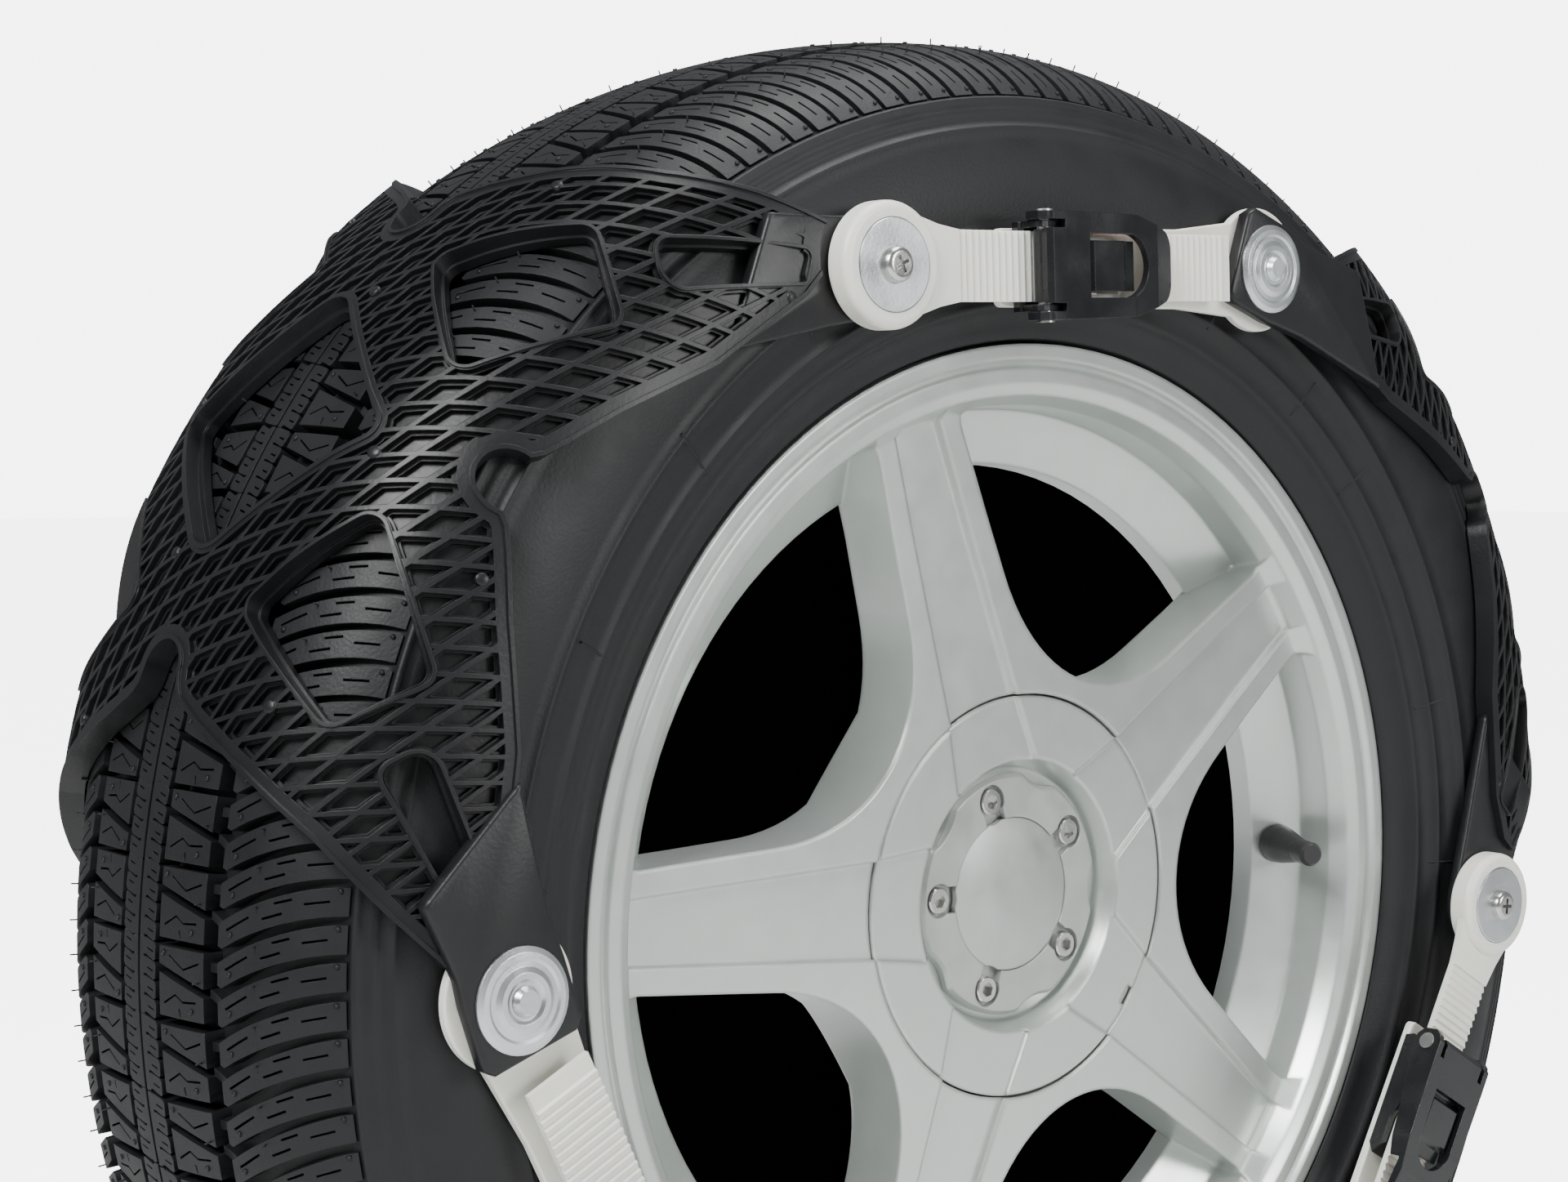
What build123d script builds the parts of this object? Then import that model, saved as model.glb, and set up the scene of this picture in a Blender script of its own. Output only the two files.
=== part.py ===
from build123d import *
import math
import os

# Car wheel wearing a segmented rubber snow cover held on by three ratchet straps.
#
# Row frame, millimetres: the origin is the centre of the hub's mounting face on the spin axis,
# +Y points along the spin axis to the vehicle, +Z is up. The street side of the wheel faces -Y.
# Angles round the wheel are clockwise from 12 o'clock, seen from the street side.
# "d" is a distance from the wheel's middle plane, outwards on either side.

# ---- driving dimensions ------------------------------------------------------------------
wheel_offset = 40.0          # middle plane of the rim behind the hub face
tyre_r = 324.0               # tread crown radius, 205/65 R15
crown_r = 252.5              # radii of the three tangent arcs of the tyre's outer profile
shoulder_r = 54.0
sidewall_r = 75.0
crown_turn = 11.4            # where each arc ends, as the angle of its outward normal
shoulder_turn = 62.0
sidewall_turn = 125.0
tyre_wall = 9.0
tread_thick = 16.0
groove_places = (14.0, 47.0)      # circumferential grooves, d of their middles
groove_half = 2.5
groove_depth = 7.5
bead_clear = 0.3             # tyre bead to rim
bead_width = 17.0

flange_r = 207.4             # 15-inch rim
bead_r = 190.0
lip_d = 81.0                 # rim flange face from the middle plane
flange_thick = 5.2
spoke_count = 5
first_spoke = -88.1
spoke_front = 70.5           # d of the spoke face at the rim end
hub_front = 73.5             # d of the spoke face at the hub cover
spoke_back = 47.0
pocket_depth = 2.4
spoke_widths = ((189.5, 20.5), (150.0, 22.5), (122.0, 25.5))    # radius, half width
window_floor_r = 86.0
rim_corner_r = 9.0
well_r = 163.0               # drop well of the barrel
hump_r = 178.0
back_r = 181.0
metal = 5.0

bore_r = 30.05
bolt_pcd = 114.3
bolt_hole_r = 6.75
lug_seat_r = 12.0
hub_pad_front = 60.0
hub_pad_r = 76.5
cover_r = 75.7
cover_front = 73.0
cover_floor = 62.5
cap_r = 46.0
cap_front = 67.0
medallion_r = 29.0
cap_screw_pcd = 74.6
cap_screw_r = 2.95
cap_head_r = 5.0
cap_hex_r = 2.9
scallop_r = 19.0             # hollows in the cap's edge, between the screws
scallop_pcd = 124.0
loose_gap = 0.35             # screw in a clearance hole

valve_angle = 89.5
valve_tilt = 26.0
valve_neck_r = 5.65
valve_bore_r = 2.4
stem_top = 24.0

panel_gap = 0.6              # rubber panel above the tyre surface
panel_top = 8.5
seam_turn = 45.0             # the tread part of a panel meets its flaps here
panel_shift = 5.5            # the panels sit this far to the street side of the middle plane
panel_centres = (-57.3, 59.7, 182.0)
ring_corners = ((-23.6, 251.5), (96.0, 249.5), (218.4, 251.0))    # angle, radius
dome_corners = ((-90.4, 250.5), (23.1, 259.0), (145.6, 252.0))

tab_bottom = 96.6            # rubber tab under the ring end
tab_top = 101.9
block_bottom = 100.2         # thick rubber end under the domed washer
block_top = 106.2
ring_bottom = 102.2
ring_top = 112.2
ring_r = 22.0
washer_r = 16.0
washer_thick = 1.6
ladder_bottom = 106.6
ladder_top = 109.8
ladder_half = 12.5
tooth_pitch = 3.2
tooth_height = 1.0
base_bottom = 96.7
base_top = 99.9
base_end_r = 24.0
slide_in = 3.0               # strap travel: slack and tight
slide_out = 8.0
fit_gap = 0.05

buckle_at = 70.0             # lever pin, measured along the strap from the ring screw
pin_d = 114.0
pin_r = 2.5
tab_pin_at = 16.0            # release tab pin, measured from the lever pin
tab_pin_d = 113.2
tab_pin_r = 1.6
coil_wire = 0.7
coil_pitch = 1.1
coil_gap = 0.4
coil_near = 9.6              # first coil of the spring, from the strap's middle line
coil_leg = 8.5
ear_in = 13.6
ear_out = 16.0
skirt_in = 16.3
ear_notch = 4.6              # the lever's plate is cut back this far past the pin, over each ear
skirt_out = 19.2
floor_top = 106.2
plate_bottom = 117.5
plate_top = 120.5
nut_bottom = 96.3
nut_plate_r = 9.0
screw_r = 3.0
screw_head_r = 6.2
screw_end = 98.3
rivet_place = 38.0
rivet_r = 2.5

os.makedirs("parts", exist_ok=True)


def save(solid, name):
    """Label a finished piece and write it."""
    solid.label = name
    export_step(solid, "parts/" + name + ".step")


# ---- tyre profile ------------------------------------------------------------------------
crown_centre = (0.0, tyre_r - crown_r)


def step_centre(centre, old_r, new_r, turn):
    """Centre of the next tangent arc of the profile."""
    reach = old_r - new_r
    return (
        centre[0] + reach * math.sin(math.radians(turn)),
        centre[1] + reach * math.cos(math.radians(turn)),
    )


shoulder_centre = step_centre(crown_centre, crown_r, shoulder_r, crown_turn)
sidewall_centre = step_centre(shoulder_centre, shoulder_r, sidewall_r, shoulder_turn)
crown_length = crown_r * math.radians(crown_turn)
shoulder_length = shoulder_r * math.radians(shoulder_turn - crown_turn)


def profile(turn, offset=0.0):
    """(d, r) on the tyre's outer profile where its outward normal has this angle."""
    if turn <= crown_turn:
        centre, radius = crown_centre, crown_r
    elif turn <= shoulder_turn:
        centre, radius = shoulder_centre, shoulder_r
    else:
        centre, radius = sidewall_centre, sidewall_r
    reach = radius + offset
    return (
        centre[0] + reach * math.sin(math.radians(turn)),
        centre[1] + reach * math.cos(math.radians(turn)),
    )


def turn_at(length):
    """Normal angle at an arc length from the crown."""
    length = abs(length)
    if length <= crown_length:
        return math.degrees(length / crown_r)
    length -= crown_length
    if length <= shoulder_length:
        return crown_turn + math.degrees(length / shoulder_r)
    return shoulder_turn + math.degrees((length - shoulder_length) / sidewall_r)


def polar(angle, radius):
    """(x, z) of a point seen along the spin axis."""
    return (radius * math.sin(math.radians(angle)), radius * math.cos(math.radians(angle)))


def side(d, r, sign):
    """(y, z) sketch point on the YZ plane; sign -1 is the street side."""
    return (wheel_offset + sign * d, r)


def profile_arcs(sign, offset, first, last):
    """Arcs of the offset profile from one normal angle to another, as builder lines."""
    stops = [first] + [t for t in (crown_turn, shoulder_turn) if first < t < last] + [last]
    for start, end in zip(stops, stops[1:]):
        ThreePointArc(
            side(*profile(start, offset), sign),
            side(*profile((start + end) / 2, offset), sign),
            side(*profile(end, offset), sign),
        )


with BuildPart() as tyre:
    with BuildSketch(Plane.YZ):
        with BuildLine():
            for sign in (-1, 1):
                profile_arcs(sign, 0.0, 0.0, sidewall_turn)
                flange_side = lip_d - flange_thick - bead_clear
                Polyline(
                    side(*profile(sidewall_turn), sign),
                    side(lip_d + bead_clear, flange_r + 1.2, sign),
                    side(flange_side, flange_r + 1.2, sign),
                    side(flange_side, bead_r + bead_clear, sign),
                    side(flange_side - bead_width, bead_r + bead_clear, sign),
                    side(*profile(sidewall_turn, -1.6 * tyre_wall), sign),
                )
                profile_arcs(sign, -tyre_wall, shoulder_turn, sidewall_turn - 8.0)
                Line(
                    side(*profile(sidewall_turn - 8.0, -tyre_wall), sign),
                    side(*profile(sidewall_turn, -1.6 * tyre_wall), sign),
                )
                Line(
                    side(*profile(shoulder_turn, -tyre_wall), sign),
                    side(*profile(crown_turn, -tread_thick), sign),
                )
            Line(
                side(*profile(crown_turn, -tread_thick), -1),
                side(*profile(crown_turn, -tread_thick), 1),
            )
        make_face()
    revolve(axis=Axis.Y)
    with BuildSketch(Plane.YZ):
        for place in groove_places:
            for sign in (-1, 1):
                with Locations(side(place, tyre_r - groove_depth / 2 + 1, sign)):
                    Rectangle(2 * groove_half, groove_depth + 4)
    revolve(axis=Axis.Y, mode=Mode.SUBTRACT)
save(tyre.part, "tyre")

# ---- alloy rim ---------------------------------------------------------------------------
def axial_plane(d):
    """Sketch plane across the spin axis, d outwards on the street side; local axes are X and Z."""
    return Plane(origin=(0, wheel_offset - d, 0), x_dir=(1, 0, 0), z_dir=(0, -1, 0))


def spoke_edge(radius, half_width):
    """A point on a spoke's edge, in a window whose middle points along local +Y."""
    along = math.sqrt(radius ** 2 - half_width ** 2)
    turn = math.radians(window_half)
    return (
        along * math.sin(turn) - half_width * math.cos(turn),
        along * math.cos(turn) + half_width * math.sin(turn),
    )


def turned_plane(d, angle):
    """Axial sketch plane whose local +Y points at this clock angle."""
    turn = math.radians(angle)
    return Plane(
        origin=(0, wheel_offset - d, 0),
        x_dir=(math.cos(turn), 0, -math.sin(turn)),
        z_dir=(0, -1, 0),
    )


window_half = 180.0 / spoke_count
spoke_angles = [first_spoke + number * 2 * window_half for number in range(spoke_count)]
window_angles = [angle + window_half for angle in spoke_angles]

valve_x, valve_z = polar(valve_angle, 173.3)
tilt_in = math.sin(math.radians(valve_tilt))
valve_dir = (
    -tilt_in * math.sin(math.radians(valve_angle)),
    -math.cos(math.radians(valve_tilt)),
    -tilt_in * math.cos(math.radians(valve_angle)),
)
valve_plane = Plane(origin=(valve_x, wheel_offset - 51.0, valve_z), z_dir=valve_dir)


def is_rim_corner(vertex):
    """True for the two outer corners of a window."""
    return tuple(vertex)[1] > 150


with BuildPart() as spoke_pockets:
    with BuildSketch(Plane.YZ):
        with BuildLine():
            Polyline(
                side(hub_front - pocket_depth, hub_pad_r - 2, -1),
                side(spoke_front - pocket_depth, 146.0, -1),
                side(spoke_front - 1.0 - pocket_depth, 183.0, -1),
                side(spoke_front + 2.0, 191.0, -1),
                side(lip_d + 5.0, 191.0, -1),
                side(lip_d + 5.0, hub_pad_r - 2, -1),
                close=True,
            )
        make_face()
    revolve(axis=Axis.Y)
    for angle in spoke_angles:
        with BuildSketch(turned_plane(60.0, angle)) as outline:
            Polygon((-18, 70), (18, 70), (13.5, 146), (10.8, 191), (-10.8, 191), (-13.5, 146), align=None)
            fillet(outline.vertices().filter_by(lambda v: v.Y > 190), radius=5)
    extrude(amount=60.0, mode=Mode.INTERSECT)

with BuildPart() as wheel_disc:
    with BuildSketch(Plane.YZ):
        with BuildLine():
            Polyline(
                side(wheel_offset, bore_r, -1),
                side(hub_pad_front, bore_r, -1),
                side(hub_pad_front, hub_pad_r, -1),
                side(hub_front, hub_pad_r, -1),
                side(spoke_front, 146.0, -1),
                side(spoke_front - 1.0, 183.0, -1),
                side(lip_d - 4.0, bead_r - 1.5, -1),
                side(spoke_back + 8.0, bead_r - 3.0, -1),
                side(spoke_back - 4.0, well_r + 1.0, -1),
                side(spoke_back - 3.0, 150.0, -1),
                side(wheel_offset + 5.0, 92.0, -1),
                side(wheel_offset, 86.0, -1),
                side(wheel_offset, bore_r, -1),
            )
        make_face()
    revolve(axis=Axis.Y)
    add(spoke_pockets.part, mode=Mode.SUBTRACT)
    for angle in window_angles:
        with BuildSketch(turned_plane(35.0, angle)) as window:
            with BuildLine():
                corner, bend, waist = (spoke_edge(*pair) for pair in spoke_widths)
                mirrored = [(-x, y) for x, y in (corner, bend, waist)]
                Line(corner, waist)
                Line(mirrored[0], mirrored[2])
                ThreePointArc(corner, (0, spoke_widths[0][0]), mirrored[0])
                slope = (waist[0] - corner[0], waist[1] - corner[1])
                Spline(
                    waist,
                    (0, window_floor_r),
                    mirrored[2],
                    tangents=(slope, (-1, 0), (slope[0], -slope[1])),
                )
            make_face()
            fillet(window.vertices().filter_by(is_rim_corner), radius=rim_corner_r)
        extrude(amount=60.0, mode=Mode.SUBTRACT)

with BuildPart() as alloy_rim:
    with BuildSketch(Plane.YZ):
        with BuildLine():
            Polyline(
                side(lip_d, flange_r, -1),
                side(lip_d - flange_thick, flange_r, -1),
                side(lip_d - flange_thick, bead_r, -1),
                side(56.0, bead_r, -1),
                side(46.0, well_r + metal, -1),
                side(8.0, well_r + metal, -1),
                side(-22.0, hump_r, -1),
                side(-50.0, back_r, -1),
                side(-56.0, bead_r, -1),
                side(flange_thick - lip_d, bead_r, -1),
                side(flange_thick - lip_d, flange_r, -1),
                side(-lip_d, flange_r, -1),
                side(-lip_d, flange_r - 5.0, -1),
                side(-lip_d + 3.5, bead_r - 2.5, -1),
                side(-55.0, bead_r - metal - 1.0, -1),
                side(-48.0, back_r - metal, -1),
                side(-22.0, hump_r - metal, -1),
                side(8.0, well_r, -1),
                side(46.0, well_r, -1),
                side(56.0, bead_r - metal - 1.5, -1),
                side(70.0, bead_r - metal, -1),
                side(lip_d - 3.5, bead_r - 1.5, -1),
                side(lip_d - 1.2, 193.0, -1),
                side(lip_d - 1.2, 198.3, -1),
                side(lip_d - 2.6, 199.2, -1),
                side(lip_d - 2.6, 200.6, -1),
                side(lip_d, 202.0, -1),
                side(lip_d, flange_r, -1),
            )
        make_face()
    revolve(axis=Axis.Y)
    add(wheel_disc.part)
    with BuildSketch(axial_plane(35.0)):
        with PolarLocations(bolt_pcd / 2, spoke_count, 90 - window_angles[0]):
            Circle(bolt_hole_r)
    extrude(amount=30.0, mode=Mode.SUBTRACT)
    with BuildSketch(axial_plane(52.0)):
        with PolarLocations(bolt_pcd / 2, spoke_count, 90 - window_angles[0]):
            Circle(lug_seat_r)
    extrude(amount=12.0, mode=Mode.SUBTRACT)
    with BuildSketch(axial_plane(48.0)):
        with PolarLocations(cap_screw_pcd / 2, spoke_count, 90 - first_spoke):
            Circle(cap_screw_r + fit_gap)
    extrude(amount=15.0, mode=Mode.SUBTRACT)
    with BuildSketch(valve_plane.offset(-12.0)):
        Circle(valve_neck_r + fit_gap)
    extrude(amount=20.0, mode=Mode.SUBTRACT)
save(alloy_rim.part, "alloy_rim")

# ---- hub cover, centre cap and valve ---------------------------------------------------------
with BuildPart() as hub_cover:
    with BuildSketch(Plane.YZ):
        with BuildLine():
            Polyline(
                side(hub_pad_front + 0.1, 12.0, -1),
                side(cover_floor, 12.0, -1),
                side(cover_floor, 48.0, -1),
                side(cover_front, 52.0, -1),
                side(cover_front, cover_r - 0.8, -1),
                side(cover_front - 0.8, cover_r, -1),
                side(hub_pad_front + 0.1, cover_r, -1),
                side(hub_pad_front + 0.1, cover_r - 3.0, -1),
                side(cover_front - 3.4, cover_r - 3.0, -1),
                side(cover_front - 3.4, 55.5, -1),
                side(hub_pad_front + 0.1, 51.0, -1),
                close=True,
            )
        make_face()
    revolve(axis=Axis.Y)
    for angle in spoke_angles:
        with BuildSketch(turned_plane(cover_front - 1.2, angle)):
            Polygon((-21, 48), (21, 48), (17.3, 80), (-17.3, 80), align=None)
    extrude(amount=5.0, mode=Mode.SUBTRACT)
    for angle in window_angles:
        radial = turned_plane(0.0, angle)
        wedge_plane = Plane(origin=radial.origin, x_dir=radial.y_dir, z_dir=radial.x_dir)
        with BuildSketch(wedge_plane):
            Polygon((45, -66.5), (64, -73.5), (45, -73.5), align=None)
        extrude(amount=13.0, both=True, mode=Mode.SUBTRACT)
    with BuildSketch(turned_plane(cover_front - 3.0, 128.0)):
        with Locations((0, cover_r)):
            Rectangle(8.0, 6.0)
    extrude(amount=6.0, mode=Mode.SUBTRACT)
    with BuildSketch(axial_plane(50.0)):
        with PolarLocations(cap_screw_pcd / 2, spoke_count, 90 - first_spoke):
            Circle(cap_screw_r + loose_gap)
    extrude(amount=20.0, mode=Mode.SUBTRACT)
save(hub_cover.part, "hub_cover")

with BuildPart() as centre_cap:
    with BuildSketch(axial_plane(cover_floor + 0.1)) as flower:
        Circle(cap_r)
        with PolarLocations(scallop_pcd / 2, spoke_count, 90 - window_angles[0]):
            Circle(scallop_r, mode=Mode.SUBTRACT)
        fillet(flower.vertices(), radius=5.0)
    extrude(amount=cap_front - cover_floor - 0.1)
    chamfer(centre_cap.faces().sort_by(Axis.Y)[0].edges(), length=1.6)
    with BuildSketch(axial_plane(cap_front - 3.0)):
        Circle(medallion_r + 0.2)
    extrude(amount=5.0, mode=Mode.SUBTRACT)
    with BuildSketch(axial_plane(cap_front - 3.5)):
        with PolarLocations(cap_screw_pcd / 2, spoke_count, 90 - first_spoke):
            Circle(6.4)
        with PolarLocations(cap_screw_pcd / 2 - 6.0, spoke_count, 90 - first_spoke):
            Rectangle(12.0, 10.0)
    extrude(amount=6.0, mode=Mode.SUBTRACT)
    with BuildSketch(axial_plane(50.0)):
        with PolarLocations(cap_screw_pcd / 2, spoke_count, 90 - first_spoke):
            Circle(cap_screw_r + loose_gap)
    extrude(amount=20.0, mode=Mode.SUBTRACT)
save(centre_cap.part, "centre_cap")

with BuildPart() as cap_medallion:
    with BuildSketch(Plane.YZ):
        with BuildLine():
            base_edge = side(cap_front - 2.9, medallion_r, -1)
            rim_edge = side(cap_front - 0.6, medallion_r, -1)
            peak = side(cap_front + 2.4, 0.0, -1)
            Line(side(cap_front - 2.9, 0.0, -1), base_edge)
            Line(base_edge, rim_edge)
            ThreePointArc(rim_edge, side(cap_front + 1.6, medallion_r * 0.52, -1), peak)
            Line(peak, side(cap_front - 2.9, 0.0, -1))
        make_face()
    revolve(axis=Axis.Y)
    with BuildSketch(axial_plane(cap_front - 4.0)):
        with PolarLocations(cap_screw_pcd / 2, spoke_count, 90 - first_spoke):
            Circle(9.0)
    extrude(amount=9.0, mode=Mode.SUBTRACT)
save(cap_medallion.part, "cap_medallion")

with BuildPart() as cap_screws:
    with BuildSketch(axial_plane(50.0)):
        with PolarLocations(cap_screw_pcd / 2, spoke_count, 90 - first_spoke):
            Circle(cap_screw_r)
    extrude(amount=15.0)
    with BuildSketch(axial_plane(cap_front - 3.4)):
        with PolarLocations(cap_screw_pcd / 2, spoke_count, 90 - first_spoke):
            Circle(cap_head_r)
    extrude(amount=3.4)
    chamfer(cap_screws.faces().group_by(Axis.Y)[0].edges(), length=0.5)
    with BuildSketch(axial_plane(cap_front - 2.4)):
        with PolarLocations(cap_screw_pcd / 2, spoke_count, 90 - first_spoke):
            RegularPolygon(cap_hex_r, 6)
    extrude(amount=4.0, mode=Mode.SUBTRACT)
save(cap_screws.part, "cap_screws")

valve_axis = Axis(valve_plane.origin, valve_plane.z_dir)
valve_section = Plane(
    origin=valve_plane.origin, x_dir=valve_plane.x_dir, z_dir=-valve_plane.y_dir
)

with BuildPart() as valve_stem:
    with BuildSketch(valve_section):
        Polygon(
            (valve_bore_r, -7), (7.6, -7), (7.6, -4.2), (valve_neck_r, -3.2), (valve_neck_r, 0.9),
            (8.2, 1.6), (7.6, 8), (5.0, stem_top), (valve_bore_r, stem_top), align=None,
        )
    revolve(axis=valve_axis)
save(valve_stem.part, "valve_stem")

with BuildPart() as valve_core:
    with BuildSketch(valve_section):
        Polygon(
            (0, -2), (valve_bore_r - fit_gap, -2), (valve_bore_r - fit_gap, stem_top + 0.1),
            (3.9, stem_top + 0.1), (3.9, stem_top + 10), (0, stem_top + 10), align=None,
        )
    revolve(axis=valve_axis)
save(valve_core.part, "valve_core")

with BuildPart() as valve_cap:
    with BuildSketch(valve_section):
        Polygon(
            (3.95, stem_top + 0.4), (5.0, stem_top + 0.4), (5.0, stem_top + 11), (3.8, stem_top + 13),
            (0, stem_top + 13), (0, stem_top + 10.6), (3.95, stem_top + 10.6), align=None,
        )
    revolve(axis=valve_axis)
save(valve_cap.part, "valve_cap")

# ---- strap lines ---------------------------------------------------------------------------
class Strap:
    """Planes and lengths of one strap, from its ring screw to its domed washer."""

    def __init__(self, ring, dome):
        start, end = polar(*ring), polar(*dome)
        self.length = math.dist(start, end)
        along = ((end[0] - start[0]) / self.length, 0, (end[1] - start[1]) / self.length)
        self.origin = (start[0], wheel_offset, start[1])
        self.along = along
        self.face = Plane(origin=self.origin, x_dir=along, z_dir=(0, -1, 0))
        self.side = Plane(origin=self.origin, x_dir=along, z_dir=(along[2], 0, -along[0]))


straps = [Strap(ring_corners[i], dome_corners[(i + 1) % 3]) for i in range(3)]


# ---- rubber panels -----------------------------------------------------------------------
# Half outlines in the panel's own chart: degrees from its middle, mm of arc from its centre
# line. They are mirrored both ways.
waist_edge = ((14.0, 0), (16.4, 11), (17.8, 20.5), (20.2, 48.5), (23.3, 73.5), (27.0, 93.5))
flap_edge = ((22.8, 70), (27.0, 93.5), (31.5, 117), (26.0, 129), (16, 126), (8, 112), (3, 102))
centre_window = ((0, 56.5), (9.0, 0))
shoulder_window = ((11.5, 32.5), (17.2, 72), (13, 96.5), (4.5, 66.5))
flap_slot = ((19, 87), (16.8, 99.5), (26.5, 125.5), (28.3, 118.5))
notch_at = 91.5
notch_r = 10.0
disc_clear = 26.0            # a panel stops this far from its corner fasteners
tab_end_r = 16.5
tab_root = ((27.5, 100), (19.0, 126))
cutter = 150.0               # longer than any part of a flap
hole_r = 3.2                 # clearance for the corner screws and rivets


def axial_points(places, centre, half, flip):
    """Chart points as an axial sketch outline; half is -1 on the street side, flip mirrors."""
    points = []
    for angle, length in places:
        radius = profile(turn_at(length - half * panel_shift))[1]
        points.append(polar(centre + flip * angle, radius))
    return points


def radial_points(places, flip, up):
    """Chart points as an outline in the panel's radial sketch plane."""
    points = []
    for angle, length in places:
        d, r = profile(turn_at(up * length + panel_shift))
        sign = 1 if up * length + panel_shift > 0 else -1
        points.append((flip * r * math.sin(math.radians(angle)), -sign * d))
    return points


def band(first, last, sign_pair, sweep, centre):
    """Slab of the offset tyre profile between two normal angles, swept round the wheel."""
    with BuildPart() as slab:
        with BuildSketch(Plane.YZ):
            for sign in sign_pair:
                with BuildLine():
                    profile_arcs(sign, panel_gap, first, last)
                    profile_arcs(sign, panel_top, first, last)
                    Line(side(*profile(first, panel_gap), sign), side(*profile(first, panel_top), sign))
                    Line(side(*profile(last, panel_gap), sign), side(*profile(last, panel_top), sign))
                make_face()
        revolve(axis=Axis.Y, revolution_arc=sweep)
    middle = Rot(0, -sweep / 2, 0) * slab.part
    return Rot(0, centre, 0) * middle


def flap(centre, half, ring, dome):
    """Sidewall part of a panel with its two corner tabs; half -1 is the street side."""
    slab = band(seam_turn, 112.0, (half,), 84.0, centre)
    outward = -half
    cut_plane = Plane(origin=(0, wheel_offset, 0), x_dir=(1, 0, 0), z_dir=(0, -1, 0))
    corners = ((1, ring, tab_bottom, tab_top), (-1, dome, block_bottom, block_top))
    if half > 0:
        corners = ((1, ring, tab_bottom, tab_top), (-1, dome, tab_bottom, tab_top))
    with BuildPart() as piece:
        add(slab)
        with BuildSketch(cut_plane):
            right = axial_points(flap_edge, centre, half, 1)
            left = axial_points(flap_edge, centre, half, -1)
            beyond = [polar(centre + turn, tyre_r + 60.0) for turn in (-20, 0, 20)]
            Polygon(*right, *reversed(left), *beyond, align=None)
        extrude(amount=outward * cutter, mode=Mode.INTERSECT)
        with BuildSketch(cut_plane):
            with Locations(axial_points(((0, notch_at + 4),), centre, half, 1)[0]):
                Circle(notch_r)
            for flip in (-1, 1):
                Polygon(*axial_points(shoulder_window, centre, half, flip), align=None)
                Polygon(*axial_points(flap_slot, centre, half, flip), align=None)
            for corner in (ring, dome):
                with Locations(polar(*corner)):
                    Circle(disc_clear)
        extrude(amount=outward * cutter, mode=Mode.SUBTRACT)
        for flip, corner, low, high in corners:
            plane = cut_plane.offset(outward * low)
            outer, inner = axial_points(tab_root, centre, half, flip)
            hub = polar(*corner)
            reach = (hub[0] - (outer[0] + inner[0]) / 2, hub[1] - (outer[1] + inner[1]) / 2)
            size = math.hypot(*reach)
            across = (-reach[1] / size * tab_end_r, reach[0] / size * tab_end_r)
            if (outer[0] - inner[0]) * across[0] + (outer[1] - inner[1]) * across[1] < 0:
                across = (-across[0], -across[1])
            with BuildSketch(plane):
                Polygon(
                    outer,
                    (hub[0] + across[0], hub[1] + across[1]),
                    (hub[0] - across[0], hub[1] - across[1]),
                    inner,
                    align=None,
                )
                with Locations(hub):
                    Circle(tab_end_r)
            extrude(amount=outward * (high - low))
    return piece.part


def tread_part(centre):
    """The part of a panel that lies over the tread."""
    slab = band(0.0, seam_turn, (-1, 1), 70.0, centre)
    radial = Vector(math.sin(math.radians(centre)), 0, math.cos(math.radians(centre)))
    plane = Plane(origin=(0, wheel_offset, 0), x_dir=Vector(0, 1, 0).cross(radial), z_dir=radial)
    reach_out = tyre_r + 76.0
    with BuildPart() as piece:
        add(slab)
        with BuildSketch(plane):
            up_right = radial_points(waist_edge, 1, 1)
            down_right = radial_points(waist_edge[1:], 1, -1)
            up_left = radial_points(waist_edge, -1, 1)
            down_left = radial_points(waist_edge[1:], -1, -1)
            Polygon(*reversed(down_right), *up_right, *reversed(up_left), *down_left, align=None)
        extrude(amount=reach_out, mode=Mode.INTERSECT)
        with BuildSketch(plane):
            top, right = centre_window
            Polygon(
                *radial_points((top, right), 1, 1),
                *radial_points((top, right), -1, -1),
                align=None,
            )
            for flip in (-1, 1):
                for up in (-1, 1):
                    Polygon(*radial_points(shoulder_window, flip, up), align=None)
        extrude(amount=reach_out, mode=Mode.SUBTRACT)
    return piece.part


def drill(ring_strap, dome_strap):
    """Holes for the corner fasteners: a slot where the strap pulls the corner along."""
    travel = slide_in + slide_out
    middle = (slide_out - slide_in) / 2
    steps = ((tab_bottom - 1, nut_bottom + 1.7, 9.3), (tab_bottom, tab_top + 1, 4.9))
    for low, high, half in steps:
        with BuildSketch(ring_strap.face.offset(low)) as slot:
            with Locations((middle, 0)):
                SlotCenterToCenter(travel, 2 * half)
        extrude(slot.sketch, amount=high - low, mode=Mode.SUBTRACT)
    with BuildSketch(dome_strap.face.offset(block_bottom - 1)) as hole:
        with Locations((dome_strap.length, 0)):
            Circle(hole_r)
    extrude(hole.sketch, amount=10, mode=Mode.SUBTRACT)
    for strap, place in ((ring_strap, 0.0), (dome_strap, dome_strap.length)):
        inner = Plane(origin=strap.origin, x_dir=strap.along, z_dir=(0, 1, 0))
        steps = ((tab_bottom - 1, nut_bottom + 1.5, 8.3), (tab_bottom, tab_top + 1, hole_r))
        for low, high, radius in steps:
            with BuildSketch(inner.offset(low)) as hole:
                with Locations((place, 0)):
                    Circle(radius)
            extrude(hole.sketch, amount=high - low, mode=Mode.SUBTRACT)


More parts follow.
